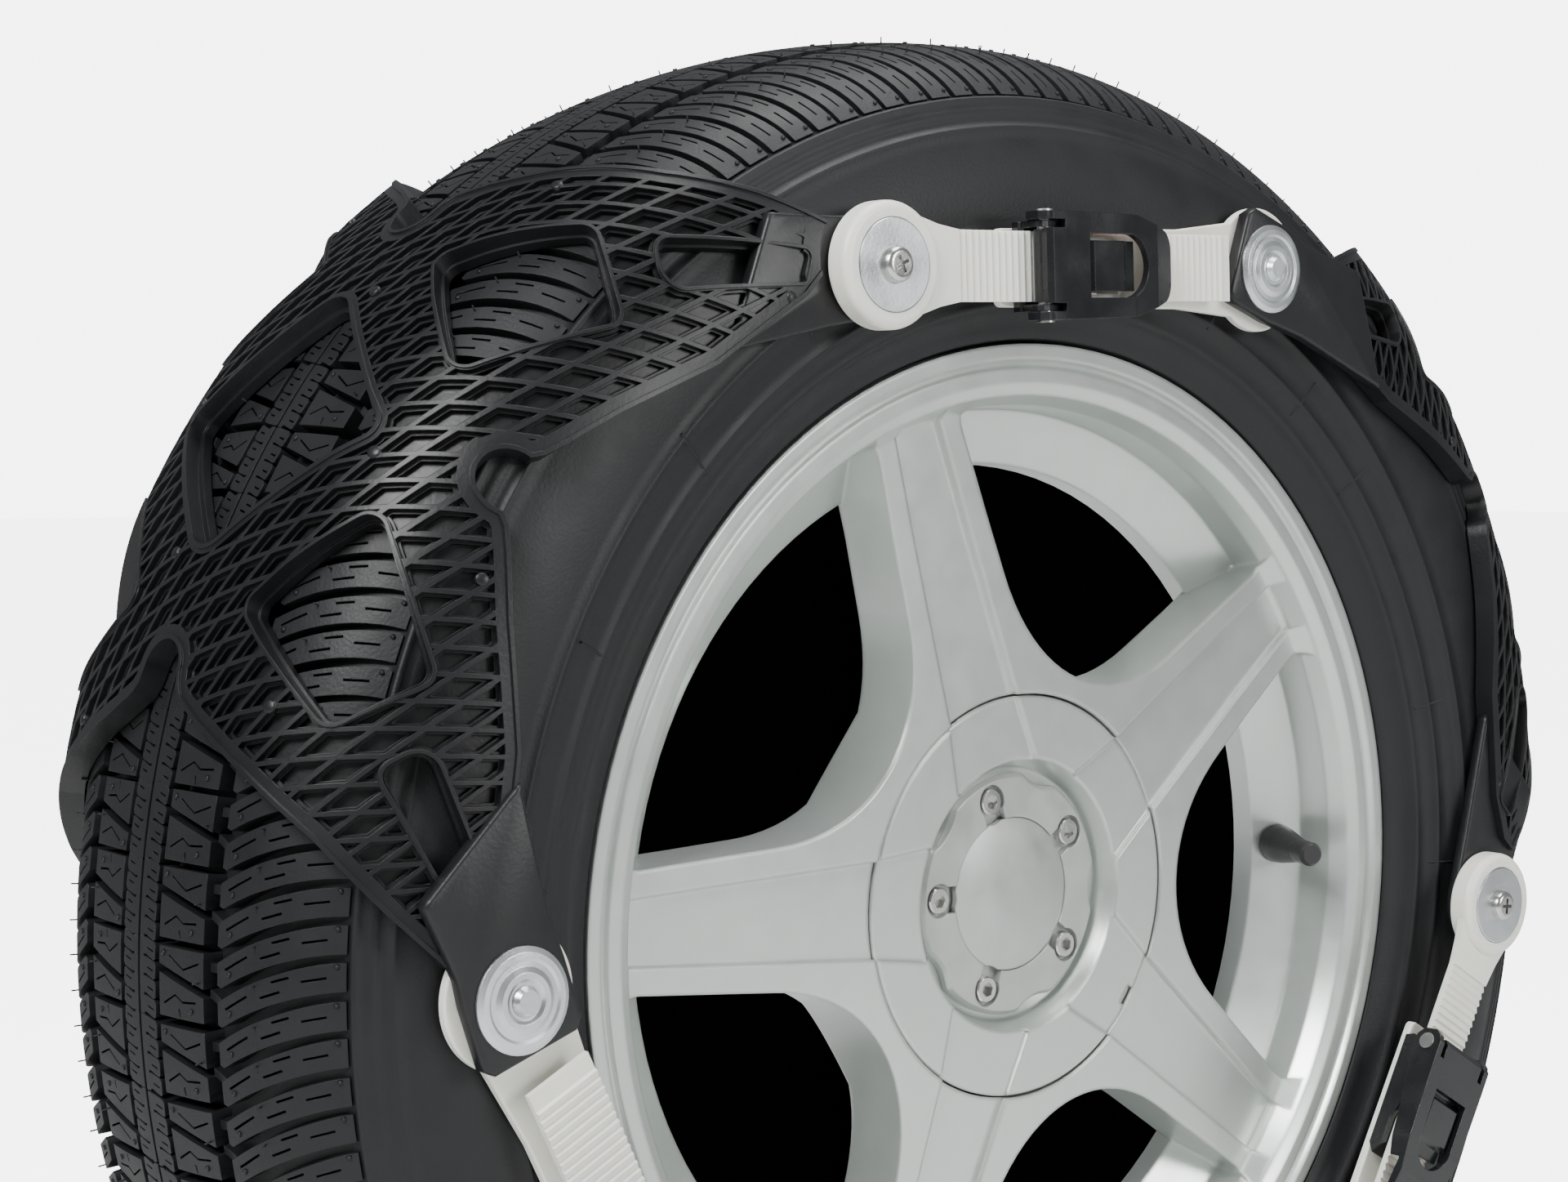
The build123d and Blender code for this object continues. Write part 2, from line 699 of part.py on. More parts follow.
for number in range(3):
    centre = panel_centres[number]
    ring = ring_corners[number]
    dome = dome_corners[number]
    with BuildPart() as tread_panel:
        add(tread_part(centre))
        add(flap(centre, -1, ring, dome))
        add(flap(centre, 1, ring, dome))
        drill(straps[number], straps[(number + 2) % 3])
    save(tread_panel.part, "tread_panel_" + str(number + 1))

# ---- straps ------------------------------------------------------------------------------
def round_rod(strap, at, d, radius, half, mode=Mode.ADD):
    """Rod or hole across a strap, at a place along it and a height d."""
    with BuildSketch(strap.side) as section:
        with Locations((at, d)):
            Circle(radius)
    extrude(section.sketch, amount=half, both=True, mode=mode)


def side_slab(strap, low, high, points, mode=Mode.ADD):
    """Extrude a side outline between two distances from the strap's middle, on both sides."""
    for sign in (-1, 1):
        with BuildSketch(strap.side.offset(sign * low)) as section:
            Polygon(*points, align=None)
        extrude(section.sketch, amount=sign * (high - low), mode=mode)


def make_ladder(strap):
    """Toothed strap with its round ring end."""
    tail = strap.length - 27.0
    teeth_start = 30.0
    with BuildPart() as ladder:
        with BuildSketch(strap.face.offset(ring_bottom)):
            Circle(ring_r)
        extrude(amount=ring_top - ring_bottom)
        rims = ladder.edges().filter_by(GeomType.CIRCLE).sort_by(Axis.Y)
        fillet(rims[0], radius=3.0)
        fillet(ladder.edges().filter_by(GeomType.CIRCLE).sort_by(Axis.Y)[-1], radius=1.5)
        with BuildSketch(strap.face.offset(ladder_bottom)):
            Polygon(
                (8, -18.6), (23, -14.2), (33, -ladder_half),
                (33, ladder_half), (23, 14.2), (8, 18.6), align=None,
            )
        extrude(amount=ladder_top - ladder_bottom)
        outline = [(teeth_start, ladder_bottom), (teeth_start, ladder_top - tooth_height)]
        place = teeth_start
        while place + tooth_pitch < tail - 4.0:
            outline.append((place + 0.75 * tooth_pitch, ladder_top))
            outline.append((place + tooth_pitch, ladder_top - tooth_height))
            place += tooth_pitch
        outline += [(tail, ladder_top - tooth_height), (tail, ladder_bottom)]
        with BuildSketch(strap.side):
            Polygon(*outline, align=None)
        extrude(amount=ladder_half, both=True)
        with BuildSketch(strap.face.offset(ring_top - washer_thick + 0.4)):
            Circle(washer_r + 0.3)
        extrude(amount=washer_thick, mode=Mode.SUBTRACT)
        with BuildSketch(strap.face.offset(ring_bottom - 1)):
            Circle(hole_r)
        extrude(amount=20, mode=Mode.SUBTRACT)
    return ladder.part


def make_ring_washer(strap):
    with BuildPart() as washer:
        with BuildSketch(strap.face.offset(ring_top - washer_thick + 0.4)):
            Circle(washer_r)
            Circle(hole_r, mode=Mode.SUBTRACT)
        extrude(amount=washer_thick)
        chamfer(washer.faces().sort_by(Axis.Y)[0].edges(), length=0.3)
    return washer.part


def make_ring_screw(strap):
    """Cross-recess pan head screw with its shank."""
    seat = ring_top + 0.4
    with BuildPart() as screw:
        with BuildSketch(strap.face.offset(screw_end)):
            Circle(screw_r)
        extrude(amount=seat - screw_end)
        with BuildSketch(strap.face.offset(seat)):
            Circle(screw_head_r)
        extrude(amount=3.6)
        fillet(screw.edges().sort_by(Axis.Y)[0], radius=2.2)
        with BuildSketch(strap.face.offset(seat + 1.2)):
            Rectangle(6.4, 1.3, rotation=25)
            Rectangle(1.3, 6.4, rotation=25)
        extrude(amount=5.0, mode=Mode.SUBTRACT)
    return screw.part


def make_ring_nut(strap):
    """Flanged nut let into the back of the rubber."""
    with BuildPart() as nut:
        with BuildSketch(strap.face.offset(nut_bottom)):
            Circle(nut_plate_r)
            Circle(screw_r + fit_gap, mode=Mode.SUBTRACT)
        extrude(amount=1.4)
        with BuildSketch(strap.face.offset(nut_bottom + 1.4)):
            Circle(4.6)
            Circle(screw_r + fit_gap, mode=Mode.SUBTRACT)
        extrude(amount=ring_bottom - nut_bottom - 1.7)
    return nut.part


def make_base_strap(strap):
    """Smooth strap under the buckle, with a round end behind the rubber."""
    end = strap.length
    start = buckle_at - 9.0
    with BuildPart() as base:
        with BuildSketch(strap.face.offset(base_bottom)) as outline:
            with Locations((end, 0)):
                Circle(base_end_r)
            Polygon(
                (start, -14.0), (start, 14.0), (end - 46, 15.0), (end - 12, 18.5),
                (end - 12, -18.5), (end - 46, -15.0), align=None,
            )
            fillet(outline.vertices().group_by(lambda v: round(v.X, 2))[0], radius=3.0)
        extrude(amount=base_top - base_bottom)
        fillet(base.faces().sort_by(Axis.Y)[0].edges(), radius=0.8)
        with BuildSketch(strap.face.offset(base_bottom - 1)):
            with Locations((end, 0)):
                Circle(hole_r)
            with Locations((buckle_at + rivet_place, 0)):
                Circle(rivet_r + 0.1)
        extrude(amount=10, mode=Mode.SUBTRACT)
        for place in (end, buckle_at + rivet_place):
            with BuildSketch(strap.face.offset(base_bottom - 1)):
                with Locations((place, 0)):
                    Circle(7.2)
            extrude(amount=2.2, mode=Mode.SUBTRACT)
    return base.part


def make_buckle_base(strap):
    """Moulded bed of the buckle with the two ears that carry the pins."""
    front, back = buckle_at - 6.0, buckle_at + 50.0
    tab_pin = buckle_at + tab_pin_at
    with BuildPart() as bed:
        with BuildSketch(strap.side):
            Polygon(
                (front + 4, base_top + 0.2), (back - 4, base_top + 0.2), (back, base_top + 3),
                (back - 6, floor_top), (front + 4, floor_top), (front + 3, floor_top - 2), align=None,
            )
        extrude(amount=ear_out, both=True)
        ear = (
            (front + 4, floor_top - 3), (front + 1.6, pin_d - 2), (front + 1.6, pin_d + 0.6),
            (front + 3, pin_d + 2.4), (front + 5, pin_d + 3.1),
            (buckle_at + 8, pin_d + 3.1), (tab_pin + 1, tab_pin_d + 3.2), (tab_pin + 5, tab_pin_d),
            (tab_pin + 12, floor_top + 2), (back - 10, floor_top - 2),
        )
        side_slab(strap, ear_in, ear_out, ear)
        round_rod(strap, buckle_at, pin_d, pin_r + fit_gap, 30, Mode.SUBTRACT)
        round_rod(strap, tab_pin, tab_pin_d, tab_pin_r + fit_gap, 30, Mode.SUBTRACT)
        with BuildSketch(strap.face.offset(base_top - 1)):
            with Locations((buckle_at + rivet_place, 0)):
                Circle(rivet_r + 0.1)
        extrude(amount=12, mode=Mode.SUBTRACT)
        with BuildSketch(strap.face.offset(floor_top - 1.6)):
            with Locations((buckle_at + rivet_place, 0)):
                Circle(4.8)
        extrude(amount=4, mode=Mode.SUBTRACT)
    return bed.part


def make_lever(strap):
    """Drive lever: side skirts, arched-window top plate and the toothed drum on the pin."""
    tip = buckle_at + 66.0
    shoulder = buckle_at + 42.0
    with BuildPart() as lever:
        skirt = (
            (buckle_at - 5.6, pin_d - 3), (buckle_at - 2.5, pin_d - 6), (buckle_at + 4, pin_d - 6),
            (buckle_at + 30, 111.0), (buckle_at + 50, 112.5), (buckle_at + 50, plate_top - 1),
            (buckle_at - 3.4, plate_top - 1), (buckle_at - 5.6, pin_d + 3),
        )
        side_slab(strap, skirt_in, skirt_out, skirt)
        with BuildSketch(strap.side):
            Polygon(
                (buckle_at - 3.4, plate_bottom), (buckle_at + 50, plate_bottom - 0.6), (tip - 3, 112.6),
                (tip, 112.6), (tip, 114.6), (buckle_at + 54, plate_top - 1.4), (buckle_at + 40, plate_top),
                (buckle_at - 1.4, plate_top), (buckle_at - 3.4, plate_top - 1.6), align=None,
            )
        extrude(amount=skirt_out, both=True)
        with BuildSketch(strap.face.offset(90)) as shape:
            Polygon(
                (buckle_at - 18, -30), (buckle_at - 18, 30), (buckle_at + 8, 30),
                (buckle_at + 8, skirt_out), (shoulder, skirt_out - 0.8), (tip, 11.5), (tip, -11.5),
                (shoulder, 0.8 - skirt_out), (buckle_at + 8, -skirt_out), (buckle_at + 8, -30),
                align=None,
            )
            fillet(shape.vertices().group_by(lambda v: round(v.X, 2))[-1], radius=8.0)
            fillet(shape.vertices().filter_by(lambda v: abs(v.X - shoulder) < 0.1), radius=12.0)
        extrude(amount=60, mode=Mode.INTERSECT)
        with BuildSketch(strap.face.offset(plate_bottom - 2)):
            for sign in (-1, 1):
                with Locations((buckle_at, sign * (ear_in + ear_out) / 2)):
                    Rectangle(2 * ear_notch, ear_out - ear_in + 0.6)
        extrude(amount=10, mode=Mode.SUBTRACT)
        with BuildSketch(strap.face.offset(100)):
            with Locations((buckle_at + 27, 0)):
                Rectangle(20, 23)
            with Locations((buckle_at + 37, 0)):
                Circle(11.5)
        extrude(amount=40, mode=Mode.SUBTRACT)
        with BuildSketch(strap.side):
            with Locations((buckle_at, pin_d)):
                Circle(3.7)
            Polygon(
                (buckle_at - 3.0, pin_d), (buckle_at - 3.0, plate_bottom + 1),
                (buckle_at + 6, plate_bottom + 1), (buckle_at + 3, pin_d), align=None,
            )
        extrude(amount=ear_in - 0.7, both=True)
        round_rod(strap, buckle_at, pin_d, pin_r + fit_gap, 30, Mode.SUBTRACT)
    return lever.part


def make_release_tab(strap):
    """Finger tab with its locking pawl, in the lever's window."""
    tab_pin = buckle_at + tab_pin_at
    with BuildPart() as tab:
        with BuildSketch(strap.side):
            Polygon(
                (tab_pin, tab_pin_d - 1.6), (tab_pin + 5.5, ladder_top + 0.3),
                (tab_pin + 7, ladder_top + 0.6), (tab_pin + 8.5, tab_pin_d - 0.6),
                (tab_pin + 24, tab_pin_d - 0.2), (tab_pin + 28, tab_pin_d + 1.2),
                (tab_pin + 28, tab_pin_d + 3.0), (tab_pin + 23, tab_pin_d + 3.4),
                (tab_pin + 20.5, tab_pin_d + 5.4), (tab_pin + 4.8, tab_pin_d + 5.8),
                (tab_pin + 3.6, tab_pin_d + 4.6), (tab_pin + 3.2, tab_pin_d + 2.2),
                (tab_pin, tab_pin_d + 2.2), align=None,
            )
        extrude(amount=9.0, both=True)
        round_rod(strap, tab_pin, tab_pin_d, 2.9, 9.0)
        round_rod(strap, tab_pin, tab_pin_d, tab_pin_r + fit_gap, 20, Mode.SUBTRACT)
    return tab.part


def make_tab_spring(strap):
    """Small torsion spring round the release tab's pin, its coils drawn as a ridged sleeve."""
    inner = tab_pin_r + 0.5
    outer = inner + coil_wire
    tab_pin = buckle_at + tab_pin_at
    with BuildPart() as spring:
        with BuildSketch(strap.side.offset(coil_near)):
            with Locations((tab_pin, tab_pin_d)):
                Circle(outer)
                Circle(inner, mode=Mode.SUBTRACT)
        extrude(amount=3 * coil_pitch - coil_gap)
        for turn in range(2):
            with BuildSketch(strap.side.offset(coil_near + (turn + 1) * coil_pitch - coil_gap)):
                with Locations((tab_pin, tab_pin_d)):
                    Circle(outer + 1)
                    Circle(outer - coil_wire / 2, mode=Mode.SUBTRACT)
            extrude(amount=coil_gap, mode=Mode.SUBTRACT)
        with BuildSketch(strap.side.offset(coil_near)):
            with Locations((tab_pin + coil_leg / 2, tab_pin_d + inner + coil_wire / 2)):
                Rectangle(coil_leg, coil_wire - 0.15)
        extrude(amount=coil_wire)
    return spring.part


def add_pin(strap, at, d, radius, half, head_r, head):
    """Pin across the buckle, with a flat head on each end when head is not zero."""
    round_rod(strap, at, d, radius, half)
    if head:
        for sign in (-1, 1):
            with BuildSketch(strap.side.offset(sign * half)) as rim:
                with Locations((at, d)):
                    Circle(head_r)
            extrude(rim.sketch, amount=sign * head)


for number, strap in enumerate(straps):
    tag = "_" + str(number + 1)
    save(make_ladder(strap), "ladder_strap" + tag)
    save(make_ring_washer(strap), "ring_washer" + tag)
    save(make_ring_screw(strap), "ring_screw" + tag)
    save(make_ring_nut(strap), "ring_nut" + tag)
    save(make_base_strap(strap), "base_strap" + tag)
    save(make_buckle_base(strap), "buckle_base" + tag)
    save(make_lever(strap), "buckle_lever" + tag)
    save(make_release_tab(strap), "release_tab" + tag)
    save(make_tab_spring(strap), "tab_spring" + tag)

with BuildPart() as lever_pins:
    for strap in straps:
        add_pin(strap, buckle_at, pin_d, pin_r, skirt_out + 0.1, 3.4, 0.7)
save(lever_pins.part, "lever_pins")

with BuildPart() as tab_pins:
    for strap in straps:
        add_pin(strap, buckle_at + tab_pin_at, tab_pin_d, tab_pin_r, ear_out, 0, 0)
save(tab_pins.part, "tab_pins")

with BuildPart() as buckle_rivets:
    for strap in straps:
        with BuildSketch(strap.face.offset(base_bottom)):
            with Locations((buckle_at + rivet_place, 0)):
                Circle(6.0)
        extrude(amount=1.1)
        with BuildSketch(strap.face.offset(base_bottom)):
            with Locations((buckle_at + rivet_place, 0)):
                Circle(rivet_r)
        extrude(amount=floor_top - 1.6 - base_bottom)
        with BuildSketch(strap.face.offset(floor_top - 1.5)):
            with Locations((buckle_at + rivet_place, 0)):
                Circle(4.6)
        extrude(amount=1.3)
save(buckle_rivets.part, "buckle_rivets")

with BuildPart() as dome_washers:
    for strap in straps:
        section = Plane(
            origin=Vector(*strap.origin) + Vector(*strap.along) * strap.length,
            x_dir=strap.along, z_dir=strap.side.z_dir,
        )
        with BuildSketch(section):
            Polygon(
                (3.2, block_top + 0.1), (17.0, block_top + 0.1), (17.0, block_top + 1.0),
                (15.2, block_top + 2.0), (13.4, block_top + 2.2), (12.4, block_top + 1.7),
                (10.8, block_top + 1.9), (9.0, block_top + 2.9), (7.2, block_top + 2.9),
                (6.0, block_top + 2.1), (3.2, block_top + 2.1), align=None,
            )
        revolve(axis=Axis(section.origin, (0, -1, 0)))
save(dome_washers.part, "dome_washers")

with BuildPart() as dome_rivets:
    for strap in straps:
        with BuildSketch(strap.face.offset(base_bottom)):
            with Locations((strap.length, 0)):
                Circle(6.8)
        extrude(amount=1.1)
        with BuildSketch(strap.face.offset(base_bottom)):
            with Locations((strap.length, 0)):
                Circle(screw_r)
        extrude(amount=block_top + 2.2 - base_bottom)
        with BuildSketch(strap.face.offset(block_top + 2.2)):
            with Locations((strap.length, 0)):
                Circle(5.0)
        extrude(amount=2.2, taper=30)
save(dome_rivets.part, "dome_rivets")

# ---- vehicle side ------------------------------------------------------------------------
inner_face_low = tab_top + 0.2
inner_band_thick = 3.2
for number, strap in enumerate(straps):
    inner = Plane(origin=strap.origin, x_dir=strap.along, z_dir=(0, 1, 0))
    with BuildPart() as inner_band:
        with BuildSketch(inner.offset(inner_face_low)):
            with Locations((strap.length / 2, 0)):
                Rectangle(strap.length, 26.0)
            for end in (0, strap.length):
                with Locations((end, 0)):
                    Circle(17.0)
        extrude(amount=inner_band_thick)
        fillet(inner_band.faces().sort_by(Axis.Y)[-1].edges(), radius=0.8)
        with BuildSketch(inner.offset(inner_face_low - 1)):
            for end in (0, strap.length):
                with Locations((end, 0)):
                    Circle(hole_r)
        extrude(amount=10, mode=Mode.SUBTRACT)
    save(inner_band.part, "inner_band_" + str(number + 1))

with BuildPart() as inner_rivets:
    for strap in straps:
        inner = Plane(origin=strap.origin, x_dir=strap.along, z_dir=(0, 1, 0))
        for end in (0, strap.length):
            with BuildSketch(inner.offset(nut_bottom)):
                with Locations((end, 0)):
                    Circle(8.0)
            extrude(amount=1.2)
            with BuildSketch(inner.offset(nut_bottom)):
                with Locations((end, 0)):
                    Circle(screw_r)
            extrude(amount=inner_face_low + inner_band_thick - nut_bottom)
            with BuildSketch(inner.offset(inner_face_low + inner_band_thick + 0.1)):
                with Locations((end, 0)):
                    Circle(8.0)
            extrude(amount=2.0, taper=35)
save(inner_rivets.part, "inner_rivets")
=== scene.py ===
"""Looks of a car wheel wearing a segmented rubber snow cover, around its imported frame."""

import math

import bpy
import numpy as np
from mathutils import Matrix, Vector
from mathutils.geometry import delaunay_2d_cdt


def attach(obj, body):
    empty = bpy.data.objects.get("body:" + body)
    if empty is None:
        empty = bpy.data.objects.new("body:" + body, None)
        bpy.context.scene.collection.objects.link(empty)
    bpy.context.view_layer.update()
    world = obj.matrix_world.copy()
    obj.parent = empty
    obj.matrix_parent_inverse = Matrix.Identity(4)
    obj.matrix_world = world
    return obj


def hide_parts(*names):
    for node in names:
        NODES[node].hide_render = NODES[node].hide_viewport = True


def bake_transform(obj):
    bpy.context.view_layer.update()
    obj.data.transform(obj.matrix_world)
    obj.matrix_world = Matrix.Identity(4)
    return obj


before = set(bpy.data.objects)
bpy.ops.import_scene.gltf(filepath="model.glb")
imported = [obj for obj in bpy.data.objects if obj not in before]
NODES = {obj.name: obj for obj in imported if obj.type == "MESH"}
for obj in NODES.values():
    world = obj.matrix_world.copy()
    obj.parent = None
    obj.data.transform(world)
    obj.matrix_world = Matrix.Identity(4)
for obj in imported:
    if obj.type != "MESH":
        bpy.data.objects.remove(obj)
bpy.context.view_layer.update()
rng = np.random.default_rng(11)

# Everything below is in millimetres until mesh_object() turns it into metres.
MM_PER_M = 1000.0
WHEEL_OFFSET = 40.0  # from the hub face to the tyre's middle plane
TYRE_R = 324.0
CROWN_R, SHOULDER_R, SIDEWALL_R = 252.5, 54.0, 75.0  # the three arcs of half a tyre profile
CROWN_TURN, SHOULDER_TURN = math.radians(11.4), math.radians(62.0)  # where the first two end
PANEL_SHIFT = 5.5  # the panels sit this far towards the street
PANEL_CENTRES = (-57.3, 59.7, 182.0)  # clock angles, in degrees
RING_CORNERS = ((-23.6, 251.5), (96.0, 249.5), (218.4, 251.0))  # clock angle and radius
DOME_CORNERS = ((-90.4, 250.5), (23.1, 259.0), (145.6, 252.0))


# ---- tyre surface -------------------------------------------------------------------------
def next_centre(centre, old, new, turn):
    """Centre of the profile's next arc, which joins the last one smoothly."""
    return (centre[0] + (old - new) * math.sin(turn), centre[1] + (old - new) * math.cos(turn))


CROWN_CENTRE = (0.0, TYRE_R - CROWN_R)
SHOULDER_CENTRE = next_centre(CROWN_CENTRE, CROWN_R, SHOULDER_R, CROWN_TURN)
SIDEWALL_CENTRE = next_centre(SHOULDER_CENTRE, SHOULDER_R, SIDEWALL_R, SHOULDER_TURN)
CROWN_LENGTH = CROWN_R * CROWN_TURN
SHOULDER_LENGTH = SHOULDER_R * (SHOULDER_TURN - CROWN_TURN)


def surface_dr(length, offset):
    """Distance from the middle plane (street side positive) and radius, at a signed arc length."""
    length, offset = np.broadcast_arrays(np.asarray(length, float), np.asarray(offset, float))
    far = np.abs(length)
    turn = np.where(
        far <= CROWN_LENGTH,
        far / CROWN_R,
        np.where(
            far <= CROWN_LENGTH + SHOULDER_LENGTH,
            CROWN_TURN + (far - CROWN_LENGTH) / SHOULDER_R,
            SHOULDER_TURN + (far - CROWN_LENGTH - SHOULDER_LENGTH) / SIDEWALL_R,
        ),
    )

    def of_arc(crown, shoulder, sidewall):
        return np.where(turn <= CROWN_TURN, crown, np.where(turn <= SHOULDER_TURN, shoulder, sidewall))

    cd, cr = (of_arc(*c) for c in zip(CROWN_CENTRE, SHOULDER_CENTRE, SIDEWALL_CENTRE))
    rad = of_arc(CROWN_R, SHOULDER_R, SIDEWALL_R) + offset
    return np.sign(length) * (cd + rad * np.sin(turn)), cr + rad * np.cos(turn)


def round_wheel(angle, d, r):
    """Points in the row frame from an angle in degrees, a middle-plane distance and a radius."""
    a, d, r = np.broadcast_arrays(np.radians(angle), d, r)
    return np.stack([r * np.sin(a), WHEEL_OFFSET - d, r * np.cos(a)], -1)


def on_tyre(angle, length, offset):
    """Points at an angle and arc length, raised off the tyre's surface."""
    d, r = surface_dr(length, offset)
    return round_wheel(np.asarray(angle, float), d, r)


def corner_xz(corner):
    """Where a panel corner's disc lies in the wheel's plane."""
    turn = math.radians(corner[0])
    return (corner[1] * math.sin(turn), corner[1] * math.cos(turn))


# ---- meshes -------------------------------------------------------------------------------
def mesh_object(name, points, faces, material):
    mesh = bpy.data.meshes.new(name)
    metres = (np.asarray(points, float) / MM_PER_M).tolist()
    mesh.from_pydata(metres, [], [list(map(int, f)) for f in faces])
    mesh.polygons.foreach_set("use_smooth", [True] * len(mesh.polygons))
    mesh.materials.append(material)
    mesh.update()
    obj = bpy.data.objects.new(name, mesh)
    bpy.context.scene.collection.objects.link(obj)
    return obj


class Parts:
    """Points and faces gathered from several pieces of one mesh."""

    def __init__(self):
        self.points, self.faces, self.count = [], [], 0

    def add(self, points, faces):
        points = np.asarray(points, float).reshape(-1, 3)
        self.points.append(points)
        self.faces.extend([[i + self.count for i in f] for f in faces])
        self.count += len(points)

    def object(self, name, material):
        return mesh_object(name, np.concatenate(self.points), self.faces, material)


def grid_faces(rows, columns, wrap=False):
    """Quads of a grid of rows x columns points; wrap joins the last column to the first."""
    faces = []
    for i in range(rows - 1):
        low, high = i * columns, (i + 1) * columns
        for j in range(columns if wrap else columns - 1):
            k = (j + 1) % columns
            faces.append((low + j, low + k, high + k, high + j))
    return faces


def circle(sides):
    """Points of a unit circle."""
    t = np.linspace(0, 2 * math.pi, sides, endpoint=False)
    return np.stack([np.cos(t), np.sin(t)], 1)


def inside(points, loop):
    """Which points lie in a closed loop."""
    x, y = points[:, 0], points[:, 1]
    found = np.zeros(len(points), bool)
    for (x0, y0), (x1, y1) in zip(loop, np.roll(loop, -1, 0)):
        if y0 != y1:
            found ^= ((y0 > y) != (y1 > y)) & (x < (x1 - x0) * (y - y0) / (y1 - y0) + x0)
    return found


def distance(points, loop):
    """Distance of each point from a closed loop."""
    best = np.full(len(points), 1e9)
    for a, b in zip(loop, np.roll(loop, -1, 0)):
        ab = b - a
        t = np.clip(((points - a) @ ab) / max(ab @ ab, 1e-9), 0, 1)
        best = np.minimum(best, np.hypot(*(points - (a + t[:, None] * ab)).T))
    return best


def signed_area(loop):
    """Area of a closed loop, positive where it runs anticlockwise."""
    x, y = loop[:, 0], loop[:, 1]
    return 0.5 * np.sum(x * np.roll(y, -1) - np.roll(x, -1) * y)


def dense(loop, step):
    """The same closed loop with points no further apart than step."""
    loop = np.asarray(loop, float)
    out = []
    for a, b in zip(loop, np.roll(loop, -1, 0)):
        n = max(1, math.ceil(np.hypot(*(b - a)) / step))
        out.extend(a + (b - a) * k / n for k in range(n))
    return np.array(out)


ROUND_STEP = 1.5  # between points on a rounded corner
NEARLY_STRAIGHT = 1.5  # a corner whose half angle, in radians, is above this stays as it is
LONGEST_CUT = 0.48  # share of a side that one rounded corner may take


def rounded(loop, radii):
    """A polygon with its corners rounded."""
    loop = np.asarray(loop, float)
    out = []
    for p, a, b, radius in zip(loop, np.roll(loop, 1, 0), np.roll(loop, -1, 0), radii):
        to_a, to_b = np.hypot(*(a - p)), np.hypot(*(b - p))
        u, v = (a - p) / to_a, (b - p) / to_b
        half = math.acos(np.clip(u @ v, -1, 1)) / 2
        if half > NEARLY_STRAIGHT:
            out.append(p)
            continue
        cut = min(radius / math.tan(half), LONGEST_CUT * min(to_a, to_b))
        radius = cut * math.tan(half)
        middle = p + (u + v) / np.hypot(*(u + v)) * radius / math.sin(half)
        s, e = p + u * cut - middle, p + v * cut - middle
        sweep = math.atan2(s[0] * e[1] - s[1] * e[0], s @ e)
        count = max(2, math.ceil(abs(sweep) * radius / ROUND_STEP) + 1)
        for k in range(count + 1):
            c, t = math.cos(sweep * k / count), math.sin(sweep * k / count)
            out.append(middle + np.array([c * s[0] - t * s[1], t * s[0] + c * s[1]]))
    return np.array(out)


OFFSET_STEP = 1.2  # between the points from which an offset line is drawn
OFFSET_TURN = 0.25  # radians between points where it goes round a corner
OFFSET_SLACK = 0.06  # points closer to the loop than the offset less this are dropped
OFFSET_GAP = 0.25  # and so are points closer together than this


def offset_loop(loop, amount, inwards):
    """The line at a distance from a closed loop, on its inside or outside."""
    loop = dense(loop, OFFSET_STEP)
    side = (1 if signed_area(loop) > 0 else -1) * (1 if inwards else -1)
    edge = np.roll(loop, -1, 0) - loop
    normal = np.stack([-edge[:, 1], edge[:, 0]], 1) / np.hypot(*edge.T)[:, None] * side
    out = []
    for p, a, b in zip(loop, np.roll(normal, 1, 0), normal):
        sweep = math.atan2(a[0] * b[1] - a[1] * b[0], a @ b)
        count = math.ceil(abs(sweep) / OFFSET_TURN)
        for share in [k / count for k in range(count + 1)] if count > 1 else [0.5]:
            c, t = math.cos(sweep * share), math.sin(sweep * share)
            out.append(p + amount * np.array([c * a[0] - t * a[1], t * a[0] + c * a[1]]))
    out = np.array(out)
    out = out[distance(out, loop) > amount - OFFSET_SLACK]
    return out[np.hypot(*(out - np.roll(out, 1, 0)).T) > OFFSET_GAP]


NOTHING = -1  # level of a triangle that is left out
MERGE = 1e-3  # points closer than this become one
SLIVER = 1e-5  # twice the area below which a triangle is dropped


